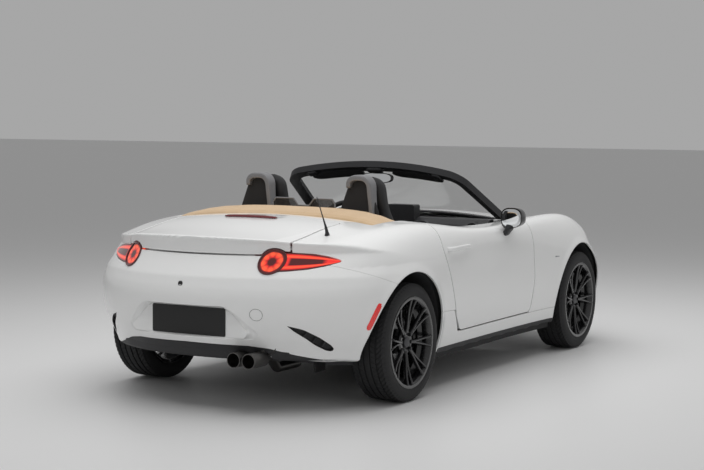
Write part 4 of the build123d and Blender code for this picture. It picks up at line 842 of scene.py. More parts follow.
hot = (ring * d.between(0.024, 0.034) + glow_tail * (1.0 - (v - 0.56).abs().between(0.0, 0.16))).clamp()
light = lamp_lens.mix(hot, (0.62, 0.012, 0.010), (1.0, 0.115, 0.035))
lamp_lens.set(base_color=lamp_lens.mix(glow, (0.085, 0.004, 0.006), (0.45, 0.015, 0.012)),
              emission_color=lamp_lens.mix(glow, (0.012, 0.0, 0.0), light))
lens_white = Finish("frosted_lamp_lens", roughness=0.05, coat_weight=1.0)
facets = lens_white.cells(40.0, (1, 1, 3))
lens_white.set(base_color=lens_white.mix(facets, (0.10, 0.105, 0.115), (0.52, 0.54, 0.57)),
               normal=lens_white.bump(facets, 0.3, 0.002))
# The side reflectors are no lamps: their emission, brighter in some prism cells than in others, is a painted
# glint.
reflector_painted_glint = Finish("red_reflector_with_painted_glint", roughness=0.10, coat_weight=1.0, emission_strength=0.35)
prisms = reflector_painted_glint.cells(320.0)
reflector_painted_glint.set(base_color=reflector_painted_glint.mix(prisms, (0.75, 0.02, 0.02), (0.30, 0.005, 0.005)),
           emission_color=reflector_painted_glint.mix(prisms, (0.9, 0.03, 0.02), (0.2, 0.0, 0.0)))

TAIL_EDGE, HEAD_EDGE = 0.003, 0.002
skin = skin_of(lamp_area, edge=TAIL_EDGE)
piece = shell("tail_lamp_lenses", skin, 26 * MM, lamp_lens, proud=1.5 * MM, edge=TAIL_EDGE)
settle(piece, "car_body", "lamp_lens_red", "tail_lamps")
skin = skin_of(headlamp_area, edge=HEAD_EDGE)
piece = shell("headlamp_lenses", skin, 22 * MM, lens_white, proud=0.5 * MM, edge=HEAD_EDGE)
settle(piece, "car_body", "lamp_lens_clear", "headlamps")
skin = skin_of(seen_from_side(REFLECTOR_LINE), wide_of(600))
piece = shell("side_reflectors", skin, 3 * MM, reflector_painted_glint, proud=2 * MM)
settle(piece, "car_body", "lamp_lens_red", "side_lamps")
skin = skin_of(seen_from_side(REPEATER_LINE), wide_of(600))
settle(shell("wing_repeaters", skin, 3 * MM, lens_white, proud=2 * MM), "car_body", "lamp_lens_clear")
print("lamps are in")

# %% [markdown]
# ## Swept and turned pieces
# A closed section is carried along a path. Its frame turns with the path: the side direction is the path's
# direction crossed with a chosen up, and the section's size may change from point to point.

# %% Sweeps
def full_turn(count):
    """Even angles once round, the last one short of the first."""
    return np.linspace(0, 2 * math.pi, count, endpoint=False)


def quads(count_u, count_v, wrap_u=False):
    """Quads of a grid that is closed along its second axis, and along the first where it wraps."""
    i, j = np.meshgrid(np.arange(count_u if wrap_u else count_u - 1), np.arange(count_v), indexing="ij")
    k, m = (i + 1) % count_u, (j + 1) % count_v
    return np.stack([i * count_v + j, i * count_v + m, k * count_v + m, k * count_v + j], -1).reshape(-1, 4)


def capped(rings):
    """Closed surface from rings of points: quads between them and a fan of triangles to each end's middle."""
    rings = np.asarray(rings, float)
    n, m = rings.shape[:2]
    points = np.concatenate([rings.reshape(-1, 3), rings[0].mean(0)[None], rings[-1].mean(0)[None]])
    j = np.arange(m)
    first = np.stack([(j + 1) % m, j, np.full(m, n * m)], -1)
    last = np.stack([(n - 1) * m + j, (n - 1) * m + (j + 1) % m, np.full(m, n * m + 1)], -1)
    return points, [*quads(n, m), *first, *last]


def smooth_path(corners, count):
    """Even points on the natural splines through some corners."""
    corners = np.asarray(corners, float)
    run = np.concatenate([[0], np.cumsum(np.linalg.norm(np.diff(corners, axis=0), axis=1))])
    at = np.linspace(0, run[-1], count)
    return np.stack([spline(run, corners[:, i], at) for i in range(3)], -1)


def smooth_line(line, y, count):
    """Smooth path through points (x, z) in the plane at y."""
    return smooth_path([(x, y, z) for x, z in line], count)


def signed_power(value, power):
    """sign(value) |value|^power, which squares up a circle's sine and cosine."""
    return np.sign(value) * np.abs(value) ** power


def oval(width, height, power=2.0, count=24):
    """Superellipse |u / w|^p + |v / h|^p = 1 as (u, v) points."""
    a = full_turn(count)
    u, v = (signed_power(part, 2 / power) for part in (np.cos(a), np.sin(a)))
    return np.stack([width * u, height * v], -1)


def carried(path, section, up=(0, 0, 1), size=None):
    """Rings of the section along the path; its ends round off to nearly a point."""
    path = np.asarray(path, float)
    way = np.gradient(path, axis=0)
    way /= np.linalg.norm(way, axis=1, keepdims=True)
    side = np.cross(way, np.asarray(up, float))
    side /= np.linalg.norm(side, axis=1, keepdims=True)
    over = np.cross(side, way)
    size = np.ones(len(path)) if size is None else np.asarray(size, float)
    spread = side[:, None] * section[None, :, :1] + over[:, None] * section[None, :, 1:]
    rings = path[:, None] + spread * size[:, None, None]
    reach = 0.35 * (np.abs(section).min(0).max() + np.abs(section).max(0).min())
    ends = []
    for index, sign in ((0, -1), (-1, 1)):
        turns = np.array([0.35, 0.7, 0.92, 1.0][::sign]) * math.pi / 2
        ends.append([path[index] + sign * way[index] * reach * size[index] * math.sin(a)
                     + (rings[index] - path[index]) * max(math.cos(a), 0.05) for a in turns])
    return np.concatenate([ends[0], rings, ends[1]])


def turned(profile, count, centre, side):
    """Profile of (radius, out along the axle) turned about a wheel's axle through centre, out to side."""
    a = full_turn(count)
    r, w = np.asarray(profile, float).T
    x = centre[0] + r[None] * np.cos(a)[:, None]
    z = centre[2] + r[None] * np.sin(a)[:, None]
    return np.stack([x, np.broadcast_to(centre[1] + side * w[None], x.shape), z], -1)


def lathe(profile, count, centre, side):
    """Solid of a profile that starts and ends near the axle: its rings lie along the axle."""
    return capped(turned(profile, count, centre, side).transpose(1, 0, 2))


def joined(*parts):
    """One mesh of several (points, faces)."""
    points, faces, base = [], [], 0
    for p, f in parts:
        p = np.asarray(p).reshape(-1, 3)
        points.append(p)
        faces += [[int(i) + base for i in face] for face in f]
        base += len(p)
    return np.concatenate(points), faces


def formed(name, shape, finish, sharp=0.7):
    """Mesh piece of (points, faces): all normals point out, and edges over the given angle stay sharp."""
    piece = mesh_piece(name, *shape, finish)
    form = bmesh.new()
    form.from_mesh(piece.data)
    bmesh.ops.recalc_face_normals(form, faces=form.faces)
    form.to_mesh(piece.data)
    form.free()
    piece.data.set_sharp_from_angle(angle=sharp)
    return piece


print("sweeps and lathes are ready")

# %% [markdown]
# ## Tyres and wheels
# A tyre is a closed profile turned about its axle. The tread is a change of radius: four grooves run round,
# and across the shoulders a saw of slots repeats, each slanting with its place across the tyre.

# %% Tyres
TYRE_WALL = np.array([(226, -84), (229, -91), (236, -96), (245, -100.5), (258, -102.5), (275, -101),
                      (290, -96), (299, -88)])
TYRE_INSIDE = np.array([(226, 76), (262, 86), (288, 60), (293, 0), (288, -60), (262, -86), (226, -76)])
TREAD_HALF, TREAD_RADIUS, CROWN = 86, 307.6, 3.2
GROOVES, GROOVE_HALF, GROOVE_WALL, GROOVE_DEPTH = (-52, -18, 18, 52), 4.6, 1.2, 7
TYRE_STEPS, TREAD_REPEATS = 432, 72
SHOULDER_SLANT, SHOULDER_DUTY, SHOULDER_CUT = 26, 0.20, 5.0
RIB_SLANT, RIB_DUTY, RIB_CUT = 60, 0.14, 3.5
BEAD_RIBS, BEAD_RIB_HEIGHT = 90, 0.5


def tyre_profile():
    """Outer wall, crown with four grooves, outer wall again and the inside, as (radius, across)."""
    edges = (-GROOVE_HALF, GROOVE_WALL - GROOVE_HALF, GROOVE_HALF - GROOVE_WALL, GROOVE_HALF)
    across = np.unique(np.concatenate([np.linspace(-TREAD_HALF, TREAD_HALF, 40),
                                       *[[g + edge for edge in edges] for g in GROOVES]]))
    depth = np.zeros_like(across)
    for g in GROOVES:
        wall = np.clip((GROOVE_HALF - np.abs(across - g)) / GROOVE_WALL, 0, 1)
        depth = np.maximum(depth, wall * GROOVE_DEPTH)
    radius = TREAD_RADIUS - CROWN * (across / TREAD_HALF) ** 2 - depth
    tread = np.stack([radius, across], -1)
    return np.concatenate([TYRE_WALL, tread, TYRE_WALL[::-1] * (1, -1), TYRE_INSIDE])


TYRE_PROFILE = tyre_profile()
tyre_rubber = moulded("treaded_tyre_rubber", (0.015, 0.015, 0.016), 0.70, 1300.0, 0.22)


def tyre(centre, side):
    """Rings round the axle; slots where the saw of angle and place across falls under its duty."""
    rings = turned(TYRE_PROFILE * MM, TYRE_STEPS, centre, side)
    r, w = TYRE_PROFILE.T
    a = full_turn(TYRE_STEPS)[:, None]
    repeat = a * TREAD_REPEATS / (2 * math.pi)
    saw = (repeat + np.abs(w)[None] / SHOULDER_SLANT) % 1.0
    fine = (repeat - w[None] / RIB_SLANT) % 1.0
    shoulder = ((np.abs(w) > 55) & (r > 297))[None]
    rib = ((np.abs(w) > 21) & (np.abs(w) < 49) & (r > 301))[None]
    sink = (np.where(shoulder & (saw < SHOULDER_DUTY), SHOULDER_CUT, 0)
            + np.where(rib & (fine < RIB_DUTY), RIB_CUT, 0))
    bead = (r > 240) & (r < 250) & (np.abs(w) > 95)
    bead_ribs = np.where(bead, BEAD_RIB_HEIGHT * np.sin(a * BEAD_RIBS), 0)
    away = rings - np.array(centre)
    away[..., 1] = 0
    rings = rings - away / np.linalg.norm(away, axis=-1, keepdims=True) * (sink * MM)[..., None]
    rings[..., 1] += side * np.sign(w)[None] * bead_ribs * MM
    return rings.reshape(-1, 3), quads(TYRE_STEPS, len(TYRE_PROFILE), wrap_u=True)


print("tyre rings have", len(TYRE_PROFILE), "points across")

# %% [markdown]
# The wheel is a turned rim with a proud flange, a bored hub and eight pairs of thin spokes that spread from
# one root and dish inwards to it. A spoke's place is given by its radius, its lean in degrees and how far out
# it lies.

# %% Wheels
BORE = 25
RIM = [(239, 96.5), (230, 92), (228, 88), (218, 86), (214, 52), (198, 36), (198, -8), (212, -42), (214, -86),
       (228, -88), (228, -95), (220, -95), (207, -84), (205, -38), (191, -4), (191, 32), (207, 50), (212, 84),
       (218, 95), (222, 98.6), (232, 100.4), (238, 99.4)]
HUB = [(BORE, -21.5), (139, -21.5), (139.5, -20), (139.5, -2), (139, -0.5), (66, -0.5), (62, 22), (70, 44),
       (68, 57), (60, 64), (45, 64), (36, 61), (BORE, 61)]
SPOKE = smooth_path([(52, 1.5, 56), (80, 2.6, 64), (125, 4.4, 71), (175, 5.8, 80), (222, 6.6, 92)], 12)
SPOKE_SIZE = np.interp(np.linspace(0, 1, 12), [0, 0.25, 0.8, 1], [1.45, 1.0, 0.95, 1.2])
SPOKE_PAIRS, FIRST_PAIR = 8, -4
NUT = [(0.0105, 0.050), (0.0105, 0.066), (0.0085, 0.074), (0.0075, 0.0765), (0.004, 0.0765)]
NUT_COUNT, NUT_CIRCLE = 4, 0.050
HUB_CAP = [(0.029, 0.050), (0.029, 0.067), (0.027, 0.0695), (0.018, 0.0705), (0.006, 0.0708)]
WHEEL_STEPS = 72
AXLES = {"front": (FRONT_AXLE, 0.748), "rear": (REAR_AXLE, 0.752)}


def wheel_rim(centre, side):
    """Rim, bored hub with its disc, and the pairs of spokes of one wheel."""
    pieces = []
    for form in (RIM, HUB):
        rings = turned(np.array(form) * MM, WHEEL_STEPS, centre, side)
        pieces.append((rings, quads(WHEEL_STEPS, len(form), wrap_u=True)))
    section = oval(0.0066, 0.0110, 2.6, 12)
    r, w = SPOKE[:, 0] * MM, SPOKE[:, 2] * MM
    for pair in range(SPOKE_PAIRS):
        for lean in (-1, 1):
            a = np.radians(pair * 360 / SPOKE_PAIRS + FIRST_PAIR + lean * SPOKE[:, 1])
            path = np.stack([centre[0] + r * np.cos(a), centre[1] + side * w, centre[2] + r * np.sin(a)], -1)
            pieces.append(capped(carried(path, section, up=(0, side, 0), size=SPOKE_SIZE)))
    return joined(*pieces)


def wheel_nuts(centre, side):
    """Four hexagonal nuts round the hub's cap."""
    pieces = []
    for k in range(NUT_COUNT):
        a = math.radians(45 + 360 / NUT_COUNT * k)
        place = (centre[0] + NUT_CIRCLE * math.cos(a), centre[1], centre[2] + NUT_CIRCLE * math.sin(a))
        pieces.append(lathe(NUT, 6, place, side))
    return joined(*pieces, lathe(HUB_CAP, 40, centre, side))


wheel_gloss = moulded("gloss_black_wheel", (0.008, 0.008, 0.009), 0.26, 1500.0, 0.03, coat_weight=0.8)
nut_steel = moulded("black_lug_nuts", (0.08, 0.08, 0.085), 0.32, 900.0, 0.1, metallic=1.0)
for axle, (x, track) in AXLES.items():
    for side, sign in SIDES:
        centre = (x, sign * track, AXLE_Z)
        body = f"wheel_{axle}_{side}"
        piece = formed(f"tyre_{axle}_{side}_tread", tyre(centre, sign), tyre_rubber, 0.5)
        settle(piece, body, "tyre_rubber", f"tyre_{axle}_{side}")
        piece = formed(f"{body}_rim", wheel_rim(centre, sign), wheel_gloss, 0.5)
        settle(piece, body, "wheel_black", body)
        piece = formed(f"wheel_nuts_{axle}_{side}", wheel_nuts(centre, sign), nut_steel, 0.5)
        settle(piece, body, "wheel_black")
print("wheels have", 2 * SPOKE_PAIRS, "spokes each")

# %% [markdown]
# ## Recesses in the bumper
# The plate's recess, the corner ducts and the nose's air intake are trays: the opening's outline on the skin,
# drawn in and forwards to a floor. Each outline is found on the skin along the car's length.

# %% Trays behind openings
TRAY_WALL, TRAY_STEPS, TRAY_LIP = 3, 9, 1.2
RAY_START, RAY_REACH = 1.2, 0.9


def even_loop(outline, count):
    """Even points round a closed outline of two numbers in millimetres."""
    loop = np.array([*outline, outline[0]], float)
    run = np.concatenate([[0], np.cumsum(np.linalg.norm(np.diff(loop, axis=0), axis=1))])
    at = np.linspace(0, run[-1], count, endpoint=False)
    return np.stack([np.interp(at, run, loop[:, i]) for i in range(2)], -1) * MM


def on_skin(x, y, z, way, reach):
    """The skin's points beyond the starts (x, y, z), found by bisection along one way."""
    starts = np.stack(np.broadcast_arrays(x, y, z), -1).astype(float)
    return found_on(starts, np.broadcast_to(np.array(way, float), starts.shape), body_gap, reach)


def on_the_end(y, z, end):
    """The skin's points at (y, z) behind or in front."""
    return on_skin(end * RAY_START, y, z, (end, 0, 0), RAY_REACH)


def tray(name, outline, floor_x, draw_in, end, finish, count=160, depth=None):
    """Open tray: rim on the skin, bowl shaped by (1 - s)^2, level floor, and the same again a wall behind.

    With a depth, the floor follows the skin that far in.
    """
    loop = even_loop(outline, count)
    middle = loop.mean(0)
    rim = on_the_end(loop[:, 0], loop[:, 1], end)
    floor = floor_x * MM if depth is None else rim[:, 0] - end * depth * MM
    fronts, backs = [], []
    for s in np.linspace(1, 0, TRAY_STEPS):
        flat = middle + (loop - middle) * (1 - draw_in * (1 - (1 - s) ** 2))
        x = rim[:, 0] + (floor - rim[:, 0]) * s ** 1.4 - end * TRAY_LIP * MM * (1 - s)
        behind = flat + (flat - middle) * 0.006
        fronts.append(np.stack([x, flat[:, 0], flat[:, 1]], -1))
        backs.append(np.stack([x - end * TRAY_WALL * MM, behind[:, 0], behind[:, 1]], -1))
    sheets = []
    for rings in (fronts, backs):
        points, faces = capped(rings)
        sheets.append((points, [face for face in faces if len(points) - 1 not in face]))
    points, faces = joined(sheets[0], (sheets[1][0], [face[::-1] for face in sheets[1][1]]))
    front = (len(fronts) - 1) * count + np.arange(count)
    back = front + len(sheets[0][0])
    faces += np.stack([front, np.roll(front, -1), np.roll(back, -1), back], -1).tolist()
    return formed(name, (points, faces), finish, 0.9)


mesh_black = moulded("black_duct_mesh", (0.014, 0.014, 0.015), 0.6, 500.0, 0.5)
whole_plate_line = [*PLATE_LINE[:-1], *((-y, z) for y, z in PLATE_LINE[-2:0:-1])]
settle(tray("plate_recess", whole_plate_line, -1880, 0.10, TAIL, paint), "car_body", "body_paint")
for side, sign in SIDES:
    line = [(sign * y, z) for y, z in DUCT_LINE]
    piece = tray(f"corner_duct_{side}", line, None, 0.10, TAIL, mesh_black, count=90, depth=13)
    settle(piece, "car_body", "black_trim")
    slats = []
    for s in (0.35, 0.6, 0.82):
        top = np.array([545 + 128 * s, 446 - 103 * s]) * MM
        low = np.array([528 + 128 * s, 428 - 112 * s]) * MM
        ends = np.array([top, (top + low) / 2, low])
        path = smooth_path(on_the_end(sign * ends[:, 0], ends[:, 1], TAIL) + np.array([0.007, 0, 0]), 7)
        slats.append(capped(carried(path, oval(0.0025, 0.008, 3, 12), up=(1, 0, 0))))
    settle(formed(f"duct_slats_{side}", joined(*slats), black_trim), "car_body", "black_trim")
settle(tray("mouth_tray", MOUTH_LINE, 1830, 0.04, NOSE, mesh_black), "car_body", "black_trim")
print("trays are", TRAY_WALL, "mm thick")

# %% Small things on the tail
CAMERA_DOT = (0.008, 0.638)
TOW_COVER, TOW_COVER_RADIUS = (-0.391, 0.500), 0.029


def bead_on_tail(y, z, radius, count, section):
    """Bead along a circle on the tail; its section is given as (across the bead, out of the skin)."""
    a = full_turn(count)
    ring = on_the_end(y + radius * np.cos(a), z + radius * np.sin(a), TAIL)
    out = slope_of(body_gap, ring)
    along = np.roll(ring, -1, 0) - np.roll(ring, 1, 0)
    along /= np.linalg.norm(along, axis=1, keepdims=True)
    across = np.cross(out, along)
    tube = ring[:, None] + out[:, None] * section[None, :, 1:] + across[:, None] * section[None, :, :1]
    return tube, quads(count, len(section), wrap_u=True)


dot = on_the_end(*CAMERA_DOT, TAIL)
lens_ring = [(0.0135, -0.012), (0.0135, 0.001), (0.012, 0.003), (0.0085, 0.0035), (0.008, 0.001),
             (0.004, 0.0022), (0.001, 0.003)]
points, faces = lathe(lens_ring, 32, (0, 0, 0), 1)
points = dot + points[:, [1, 0, 2]] * (-1, 1, 1)
settle(formed("rear_camera", (points, faces), gloss_black), "car_body", "gloss_black")
groove_finish = moulded("shut_line_shadow", (0.05, 0.05, 0.05), 0.8, 900.0, 0.05)
line = bead_on_tail(*TOW_COVER, TOW_COVER_RADIUS, 72, oval(0.0009, 0.0009, 2, 8))
settle(formed("tow_cover_line", joined(line), groove_finish), "car_body", "black_trim")
dark_red = Finish("dark_red_lamp_rim", roughness=0.12, coat_weight=1.0)
dark_red.set(base_color=dark_red.mix(dark_red.noise(40.0), (0.06, 0.004, 0.006), (0.10, 0.006, 0.008)))
rim_section = oval(0.0045, 0.0065, 2, 12) + (0, 0.001)
rims = [bead_on_tail(sign * LAMP_Y, LAMP_Z, LAMP_RADIUS - 0.0015, 96, rim_section) for _, sign in SIDES]
settle(formed("tail_lamp_rims", joined(*rims), dark_red), "car_body", "lamp_lens_red")
print("the tail has its small pieces")

# %% [markdown]
# ## Door handles, mirrors and aerial
# A handle is an oval section carried along a bowed path, with both its ends turned in to the skin. A mirror's
# housing is a superellipsoid: cos and sin of two angles, each raised to a power with its sign kept.

# %% Fittings on the flank
HANDLE_X = np.array([-0.690, -0.684, -0.655, -0.56, -0.47, -0.443, -0.437])
HANDLE_Z = np.array([0.757, 0.758, 0.760, 0.763, 0.762, 0.760, 0.759])
HANDLE_OUT = np.array([-0.006, 0.012, 0.023, 0.027, 0.023, 0.012, -0.006])
MIRROR_X, MIRROR_Y, MIRROR_Z = 0.080, 0.874, 0.888
STALK_LINE = ((0.100, 0.796, 0.768), (0.100, 0.820, 0.790), (0.097, 0.842, 0.816), (0.092, 0.862, 0.846))
MIRROR_GLASS = Finish("mirror_glass", metallic=1.0, roughness=0.02)
smudge = MIRROR_GLASS.noise(12.0, 3.0)
MIRROR_GLASS.set(base_color=MIRROR_GLASS.mix(smudge, (0.78, 0.80, 0.82), (0.90, 0.91, 0.92)))


def mirror_house(sign):
    """Superellipsoid, round in front, cut off flat behind, and narrower low down on its outer side."""
    lat, lon = np.meshgrid(np.linspace(0, math.pi, 40), full_turn(56), indexing="ij")
    belt = signed_power(np.sin(lat), 0.75)
    x = np.maximum(signed_power(np.cos(lat), 0.85), -0.12)
    y = belt * signed_power(np.cos(lon), 0.72)
    z = belt * signed_power(np.sin(lon), 0.72)
    taper = 1 - 0.22 * np.clip(y * sign, -1, 1) * (z < 0) * np.abs(z)
    house = np.stack([MIRROR_X + 0.104 * x, sign * MIRROR_Y + 0.066 * y, MIRROR_Z + 0.060 * z * taper], -1)
    return capped(house[1:-1])


def facing_disc(outline, middle, steps, lean=0.0):
    """Disc facing the tail; a step gives how far ahead of middle a ring lies, and its share of the size."""
    x, y, z = middle
    u, v = outline.T
    return capped([np.stack([x + ahead + v * share * lean, y + u * share, z + v * share], -1)
                   for ahead, share in steps])


for side, sign in SIDES:
    door = f"door_{side}"
    base = on_skin(HANDLE_X, sign * 0.3, HANDLE_Z, (0, sign, 0), 0.8)
    base[:, 1] += sign * HANDLE_OUT
    bar = capped(carried(smooth_path(base, 40), oval(0.0065, 0.0125, 2.6, 20)))
    settle(formed(f"door_handle_{side}", bar, paint, 1.2), door, "body_paint")
    piece = formed(f"mirror_{side}_housing", mirror_house(sign), gloss_black, 0.9)
    settle(piece, door, "gloss_black", f"mirror_{side}")
    glass = facing_disc(oval(0.059, 0.052, 2.7, 56), (0.0675, sign * MIRROR_Y, MIRROR_Z),
                        ((0.004, 1.0), (-0.0025, 1.0), (-0.004, 0.93), (-0.0044, 0.6), (-0.0046, 0.2)))
    settle(formed(f"mirror_{side}_glass", glass, MIRROR_GLASS, 0.5), door, "gloss_black")
    foot = smooth_path([(x, sign * y, z) for x, y, z in STALK_LINE], 20)
    stalk = carried(foot, oval(0.040, 0.013, 2.6, 24), up=(0, sign, 0.3), size=np.linspace(0.9, 1.6, 20))
    settle(formed(f"mirror_{side}_stalk", capped(stalk), black_trim, 1.2), door, "black_trim")

AERIAL_PLACE = (-1.480, -0.560)
AERIAL_LINE = ((0.004, 0, -0.012), (0, 0, 0.012), (-0.022, 0, 0.060), (-0.062, 0, 0.130), (-0.100, 0, 0.196))
base = on_skin(*AERIAL_PLACE, 0.5, (0, 0, 1), 0.8)
size = np.interp(np.linspace(0, 1, 60), [0, 0.05, 0.12, 0.3, 0.5, 0.96, 1],
                 [1, 0.95, 0.62, 0.34, 0.20, 0.15, 0.10])
mast = carried(smooth_path(base + np.array(AERIAL_LINE), 60), oval(0.0105, 0.021, 2.0, 20), size=size)
settle(formed("aerial", capped(mast), black_trim, 1.2), "car_body", "black_trim", "antenna")
print("fittings are on")

# %% [markdown]
# ## Padded and folded things
# The seats and the cover over the folded top are soft: crowned closed forms with seams sunk in. A pad is a
# superellipse section carried along its middle line. A seam is a valley exp(-(s / w)^2) pushed in along the
# normal, and slow sums of sines give the slack of the cloth.

# %% Cloth and leather
top_cloth = Finish("woven_tan_top", roughness=0.92, sheen_weight=0.25, sheen_roughness=0.5)
place = top_cloth.place()
warp = (top_cloth.axis(place, "X") * 2600.0).sin()
weft = (top_cloth.axis(place, "Y") * 2600.0).sin()
weave = warp * weft * 0.5 + 0.5
blotch = top_cloth.noise(7.0, 4.0)
tint = top_cloth.mix(blotch, (0.47, 0.325, 0.185), (0.60, 0.435, 0.27))
woven = top_cloth.mix(weave * 0.35, tint, (0.33, 0.22, 0.12))
black_below = 1.0 - top_cloth.axis(place, "Z").between(0.884, 0.888)
top_cloth.set(base_color=top_cloth.mix(black_below, woven, (0.016, 0.016, 0.017)),
              normal=top_cloth.bump(weave + blotch, 0.35, 0.0008))
hide = Finish("black_seat_leather", roughness=0.5, coat_weight=0.05)
pores = hide.cells(420.0)
wear = hide.noise(6.0, 4.0)
hide.set(base_color=hide.mix(wear, (0.016, 0.016, 0.017), (0.030, 0.030, 0.031)), roughness=wear * 0.2 + 0.40,
         normal=hide.bump(pores + wear, 0.3, 0.0006))
mesh_cloth = Finish("dark_woven_panel", roughness=0.85)
place = mesh_cloth.place()
warp, weft = ((mesh_cloth.axis(place, name) * 1400.0).sin() for name in "YZ")
grid_weave = warp * weft * 0.5 + 0.5
mesh_cloth.set(base_color=mesh_cloth.mix(grid_weave, (0.012, 0.012, 0.013), (0.034, 0.034, 0.036)),
               normal=mesh_cloth.bump(grid_weave, 0.4, 0.0008))
thread = moulded("seat_thread", (0.20, 0.20, 0.20), 0.7, 1500.0, 0.3)


def slack(points, size, seed):
    """Slow unevenness of stretched cloth: a sum of six sines with fixed directions."""
    rng = np.random.default_rng(seed)
    total = np.zeros(points.shape[:-1])
    for k in range(6):
        way = rng.normal(size=3)
        total += np.sin(points @ (way / np.linalg.norm(way)) * (12 + 9 * k) + rng.uniform(0, 6.3)) / (1 + k)
    return total * size


def pad(path, half_width, half_depth, seams, power, seed, crown, count=72, slack_size=0.0012):
    """Rings of a pad. seams are places s, as shares of the width, where a valley runs along the pad."""
    way = np.gradient(path, axis=0)
    way /= np.linalg.norm(way, axis=1, keepdims=True)
    side = np.array([0.0, 1.0, 0.0])
    over = np.cross(way, side)
    u, v = oval(1, 1, power, count).T
    v = v * (1 - crown * u**2)
    for place, depth, width in seams:
        v = v * (1 - depth * np.exp(-((u - place) / width) ** 2))
    across, up = u[None] * half_width[:, None], v[None] * half_depth[:, None]
    rings = path[:, None] + side * across[..., None] + over[:, None] * up[..., None]
    away = rings - path[:, None]
    push = slack(rings, slack_size, seed)[..., None]
    return rings + away / np.maximum(np.linalg.norm(away, axis=-1, keepdims=True), 1e-9) * push


def round_ends(count, share, least=0.12):
    """Size along a pad: a quarter circle up over its first share and another down over its last."""
    t = np.linspace(0, 1, count)
    rise, fall = (np.sqrt(np.clip(1 - np.clip(1 - part / share, 0, 1) ** 2, 0, 1)) for part in (t, 1 - t))
    return np.maximum(rise * fall, least)


# %% Seats
CUSHION_LINE = ((-0.415, 0.275), (-0.25, 0.285), (-0.05, 0.300), (0.075, 0.300))
CUSHION_Y, CUSHION_HALF, CUSHION_DEPTH, CUSHION_STEPS = 0.345, 0.222, 0.070, 60
BACK_LINE = ((-0.470, 0.330), (-0.510, 0.480), (-0.555, 0.680), (-0.600, 0.860), (-0.630, 0.985),
             (-0.640, 1.070), (-0.642, 1.134))
BACK_Y, BACK_STEPS = 0.320, 90
BACK_HALF = ([0.33, 0.45, 0.6, 0.78, 0.88, 0.96, 1.02, 1.10, 1.138],
             [0.198, 0.204, 0.198, 0.176, 0.146, 0.122, 0.116, 0.107, 0.08])
BACK_DEPTH = ([0.33, 0.5, 0.8, 0.95, 1.05, 1.11, 1.138], [0.062, 0.070, 0.056, 0.042, 0.044, 0.038, 0.024])
SEAM, STITCH_HEIGHT = 0.62, 0.0630
CUSHION_SEAMS = ((-SEAM, 0.16, 0.05), (SEAM, 0.16, 0.05))
BACK_SEAMS = ((-0.60, 0.20, 0.05), (0.60, 0.20, 0.05))
for side, sign in SIDES:
    base_path = smooth_line(CUSHION_LINE, sign * CUSHION_Y, CUSHION_STEPS)
    ends = round_ends(CUSHION_STEPS, 0.12)
    seat = pad(base_path, CUSHION_HALF * ends**0.4, CUSHION_DEPTH * ends, CUSHION_SEAMS, power=3.2, seed=3,
               crown=-0.14)
    stitches = []
    inner = slice(8, -8)
    for place in (-SEAM, SEAM):
        line = base_path[inner] + np.outer(ends[inner], (0, place * CUSHION_HALF, STITCH_HEIGHT))
        stitches.append(capped(carried(line, oval(0.0012, 0.0012, 2, 8))))
    back_path = smooth_line(BACK_LINE, sign * BACK_Y, BACK_STEPS)
    half = np.pad(np.interp(back_path[:, 2], *BACK_HALF), 4, mode="edge")
    half = np.convolve(half, np.ones(9) / 9, "valid")
    deep = np.interp(back_path[:, 2], *BACK_DEPTH)
    ends = round_ends(BACK_STEPS, 0.06, 0.2)
    backrest = pad(back_path, half * ends**0.5, deep * ends, BACK_SEAMS, power=3.0, seed=5, crown=-0.16)
    for name, rings in (("seat_cushion", seat), ("seat_back", backrest)):
        piece = formed(f"{name}_{side}", capped(rings), hide, 1.3)
        settle(piece, "car_body", "seat_leather", *(["seats"] if name == "seat_cushion" and sign < 0 else []))
    settle(formed(f"seat_stitching_{side}", joined(*stitches), thread), "car_body", "seat_leather")
print("seats are", 2 * CUSHION_HALF, "m wide")

# %% [markdown]
# The cover is the top's own outline from front to back, carried across the car. Above its shoulder it sinks
# towards both sides, and two folds and a little slack run along it.

# %% Cover over the folded top
COVER_HALF, COVER_SHOULDER, COVER_ROWS = 0.628, 0.895, 150
COVER_MIDDLE_X, PULL = -0.975, 0.25
FOLDS_X, FOLD_WIDTH, FOLD_DEPTH = (-0.846, -1.098), 0.005, 0.0022
RIPPLES, RIPPLE_HEIGHT, COVER_TOP = 46, 0.0016, 0.93
COVER_LINE = ((-1.124, 0.730), (-1.124, 0.860), (-1.127, 0.918), (-1.112, 0.942), (-1.060, 0.961),
              (-0.985, 0.973), (-0.905, 0.975), (-0.845, 0.966), (-0.812, 0.940), (-0.806, 0.890),
              (-0.806, 0.730))
section = smooth_line(COVER_LINE, 0, 110)
long, high = section[None, :, 0], section[None, :, 2]
ys = np.linspace(-1, 1, COVER_ROWS)[:, None]
drop = (1 - np.abs(ys) ** 3.4) ** 0.75
pulled = np.abs(ys) ** 4 * np.clip((high - 0.86) / 0.1, 0, 1) * (COVER_MIDDLE_X - long) * PULL
lift = np.clip(high - COVER_SHOULDER, 0, None) * (drop * 0.86 + 0.14)
fold = sum(np.exp(-((long - x) / FOLD_WIDTH) ** 2) for x in FOLDS_X) * (high > 0.9)
ripple = RIPPLE_HEIGHT * np.sin(ys * RIPPLES) * np.abs(ys) ** 3 * (high > COVER_TOP)
rings = np.stack([long + pulled, np.broadcast_to(ys * COVER_HALF, pulled.shape),
                  np.minimum(high, COVER_SHOULDER) + lift - FOLD_DEPTH * fold - ripple], -1)
rings[..., 2] += slack(rings, 0.0010, 9) * (high > COVER_TOP)
piece = formed("folded_top_cover", capped(rings), top_cloth, 1.2)
settle(piece, "car_body", "top_fabric", "folded_top")
print("soft pieces are made")

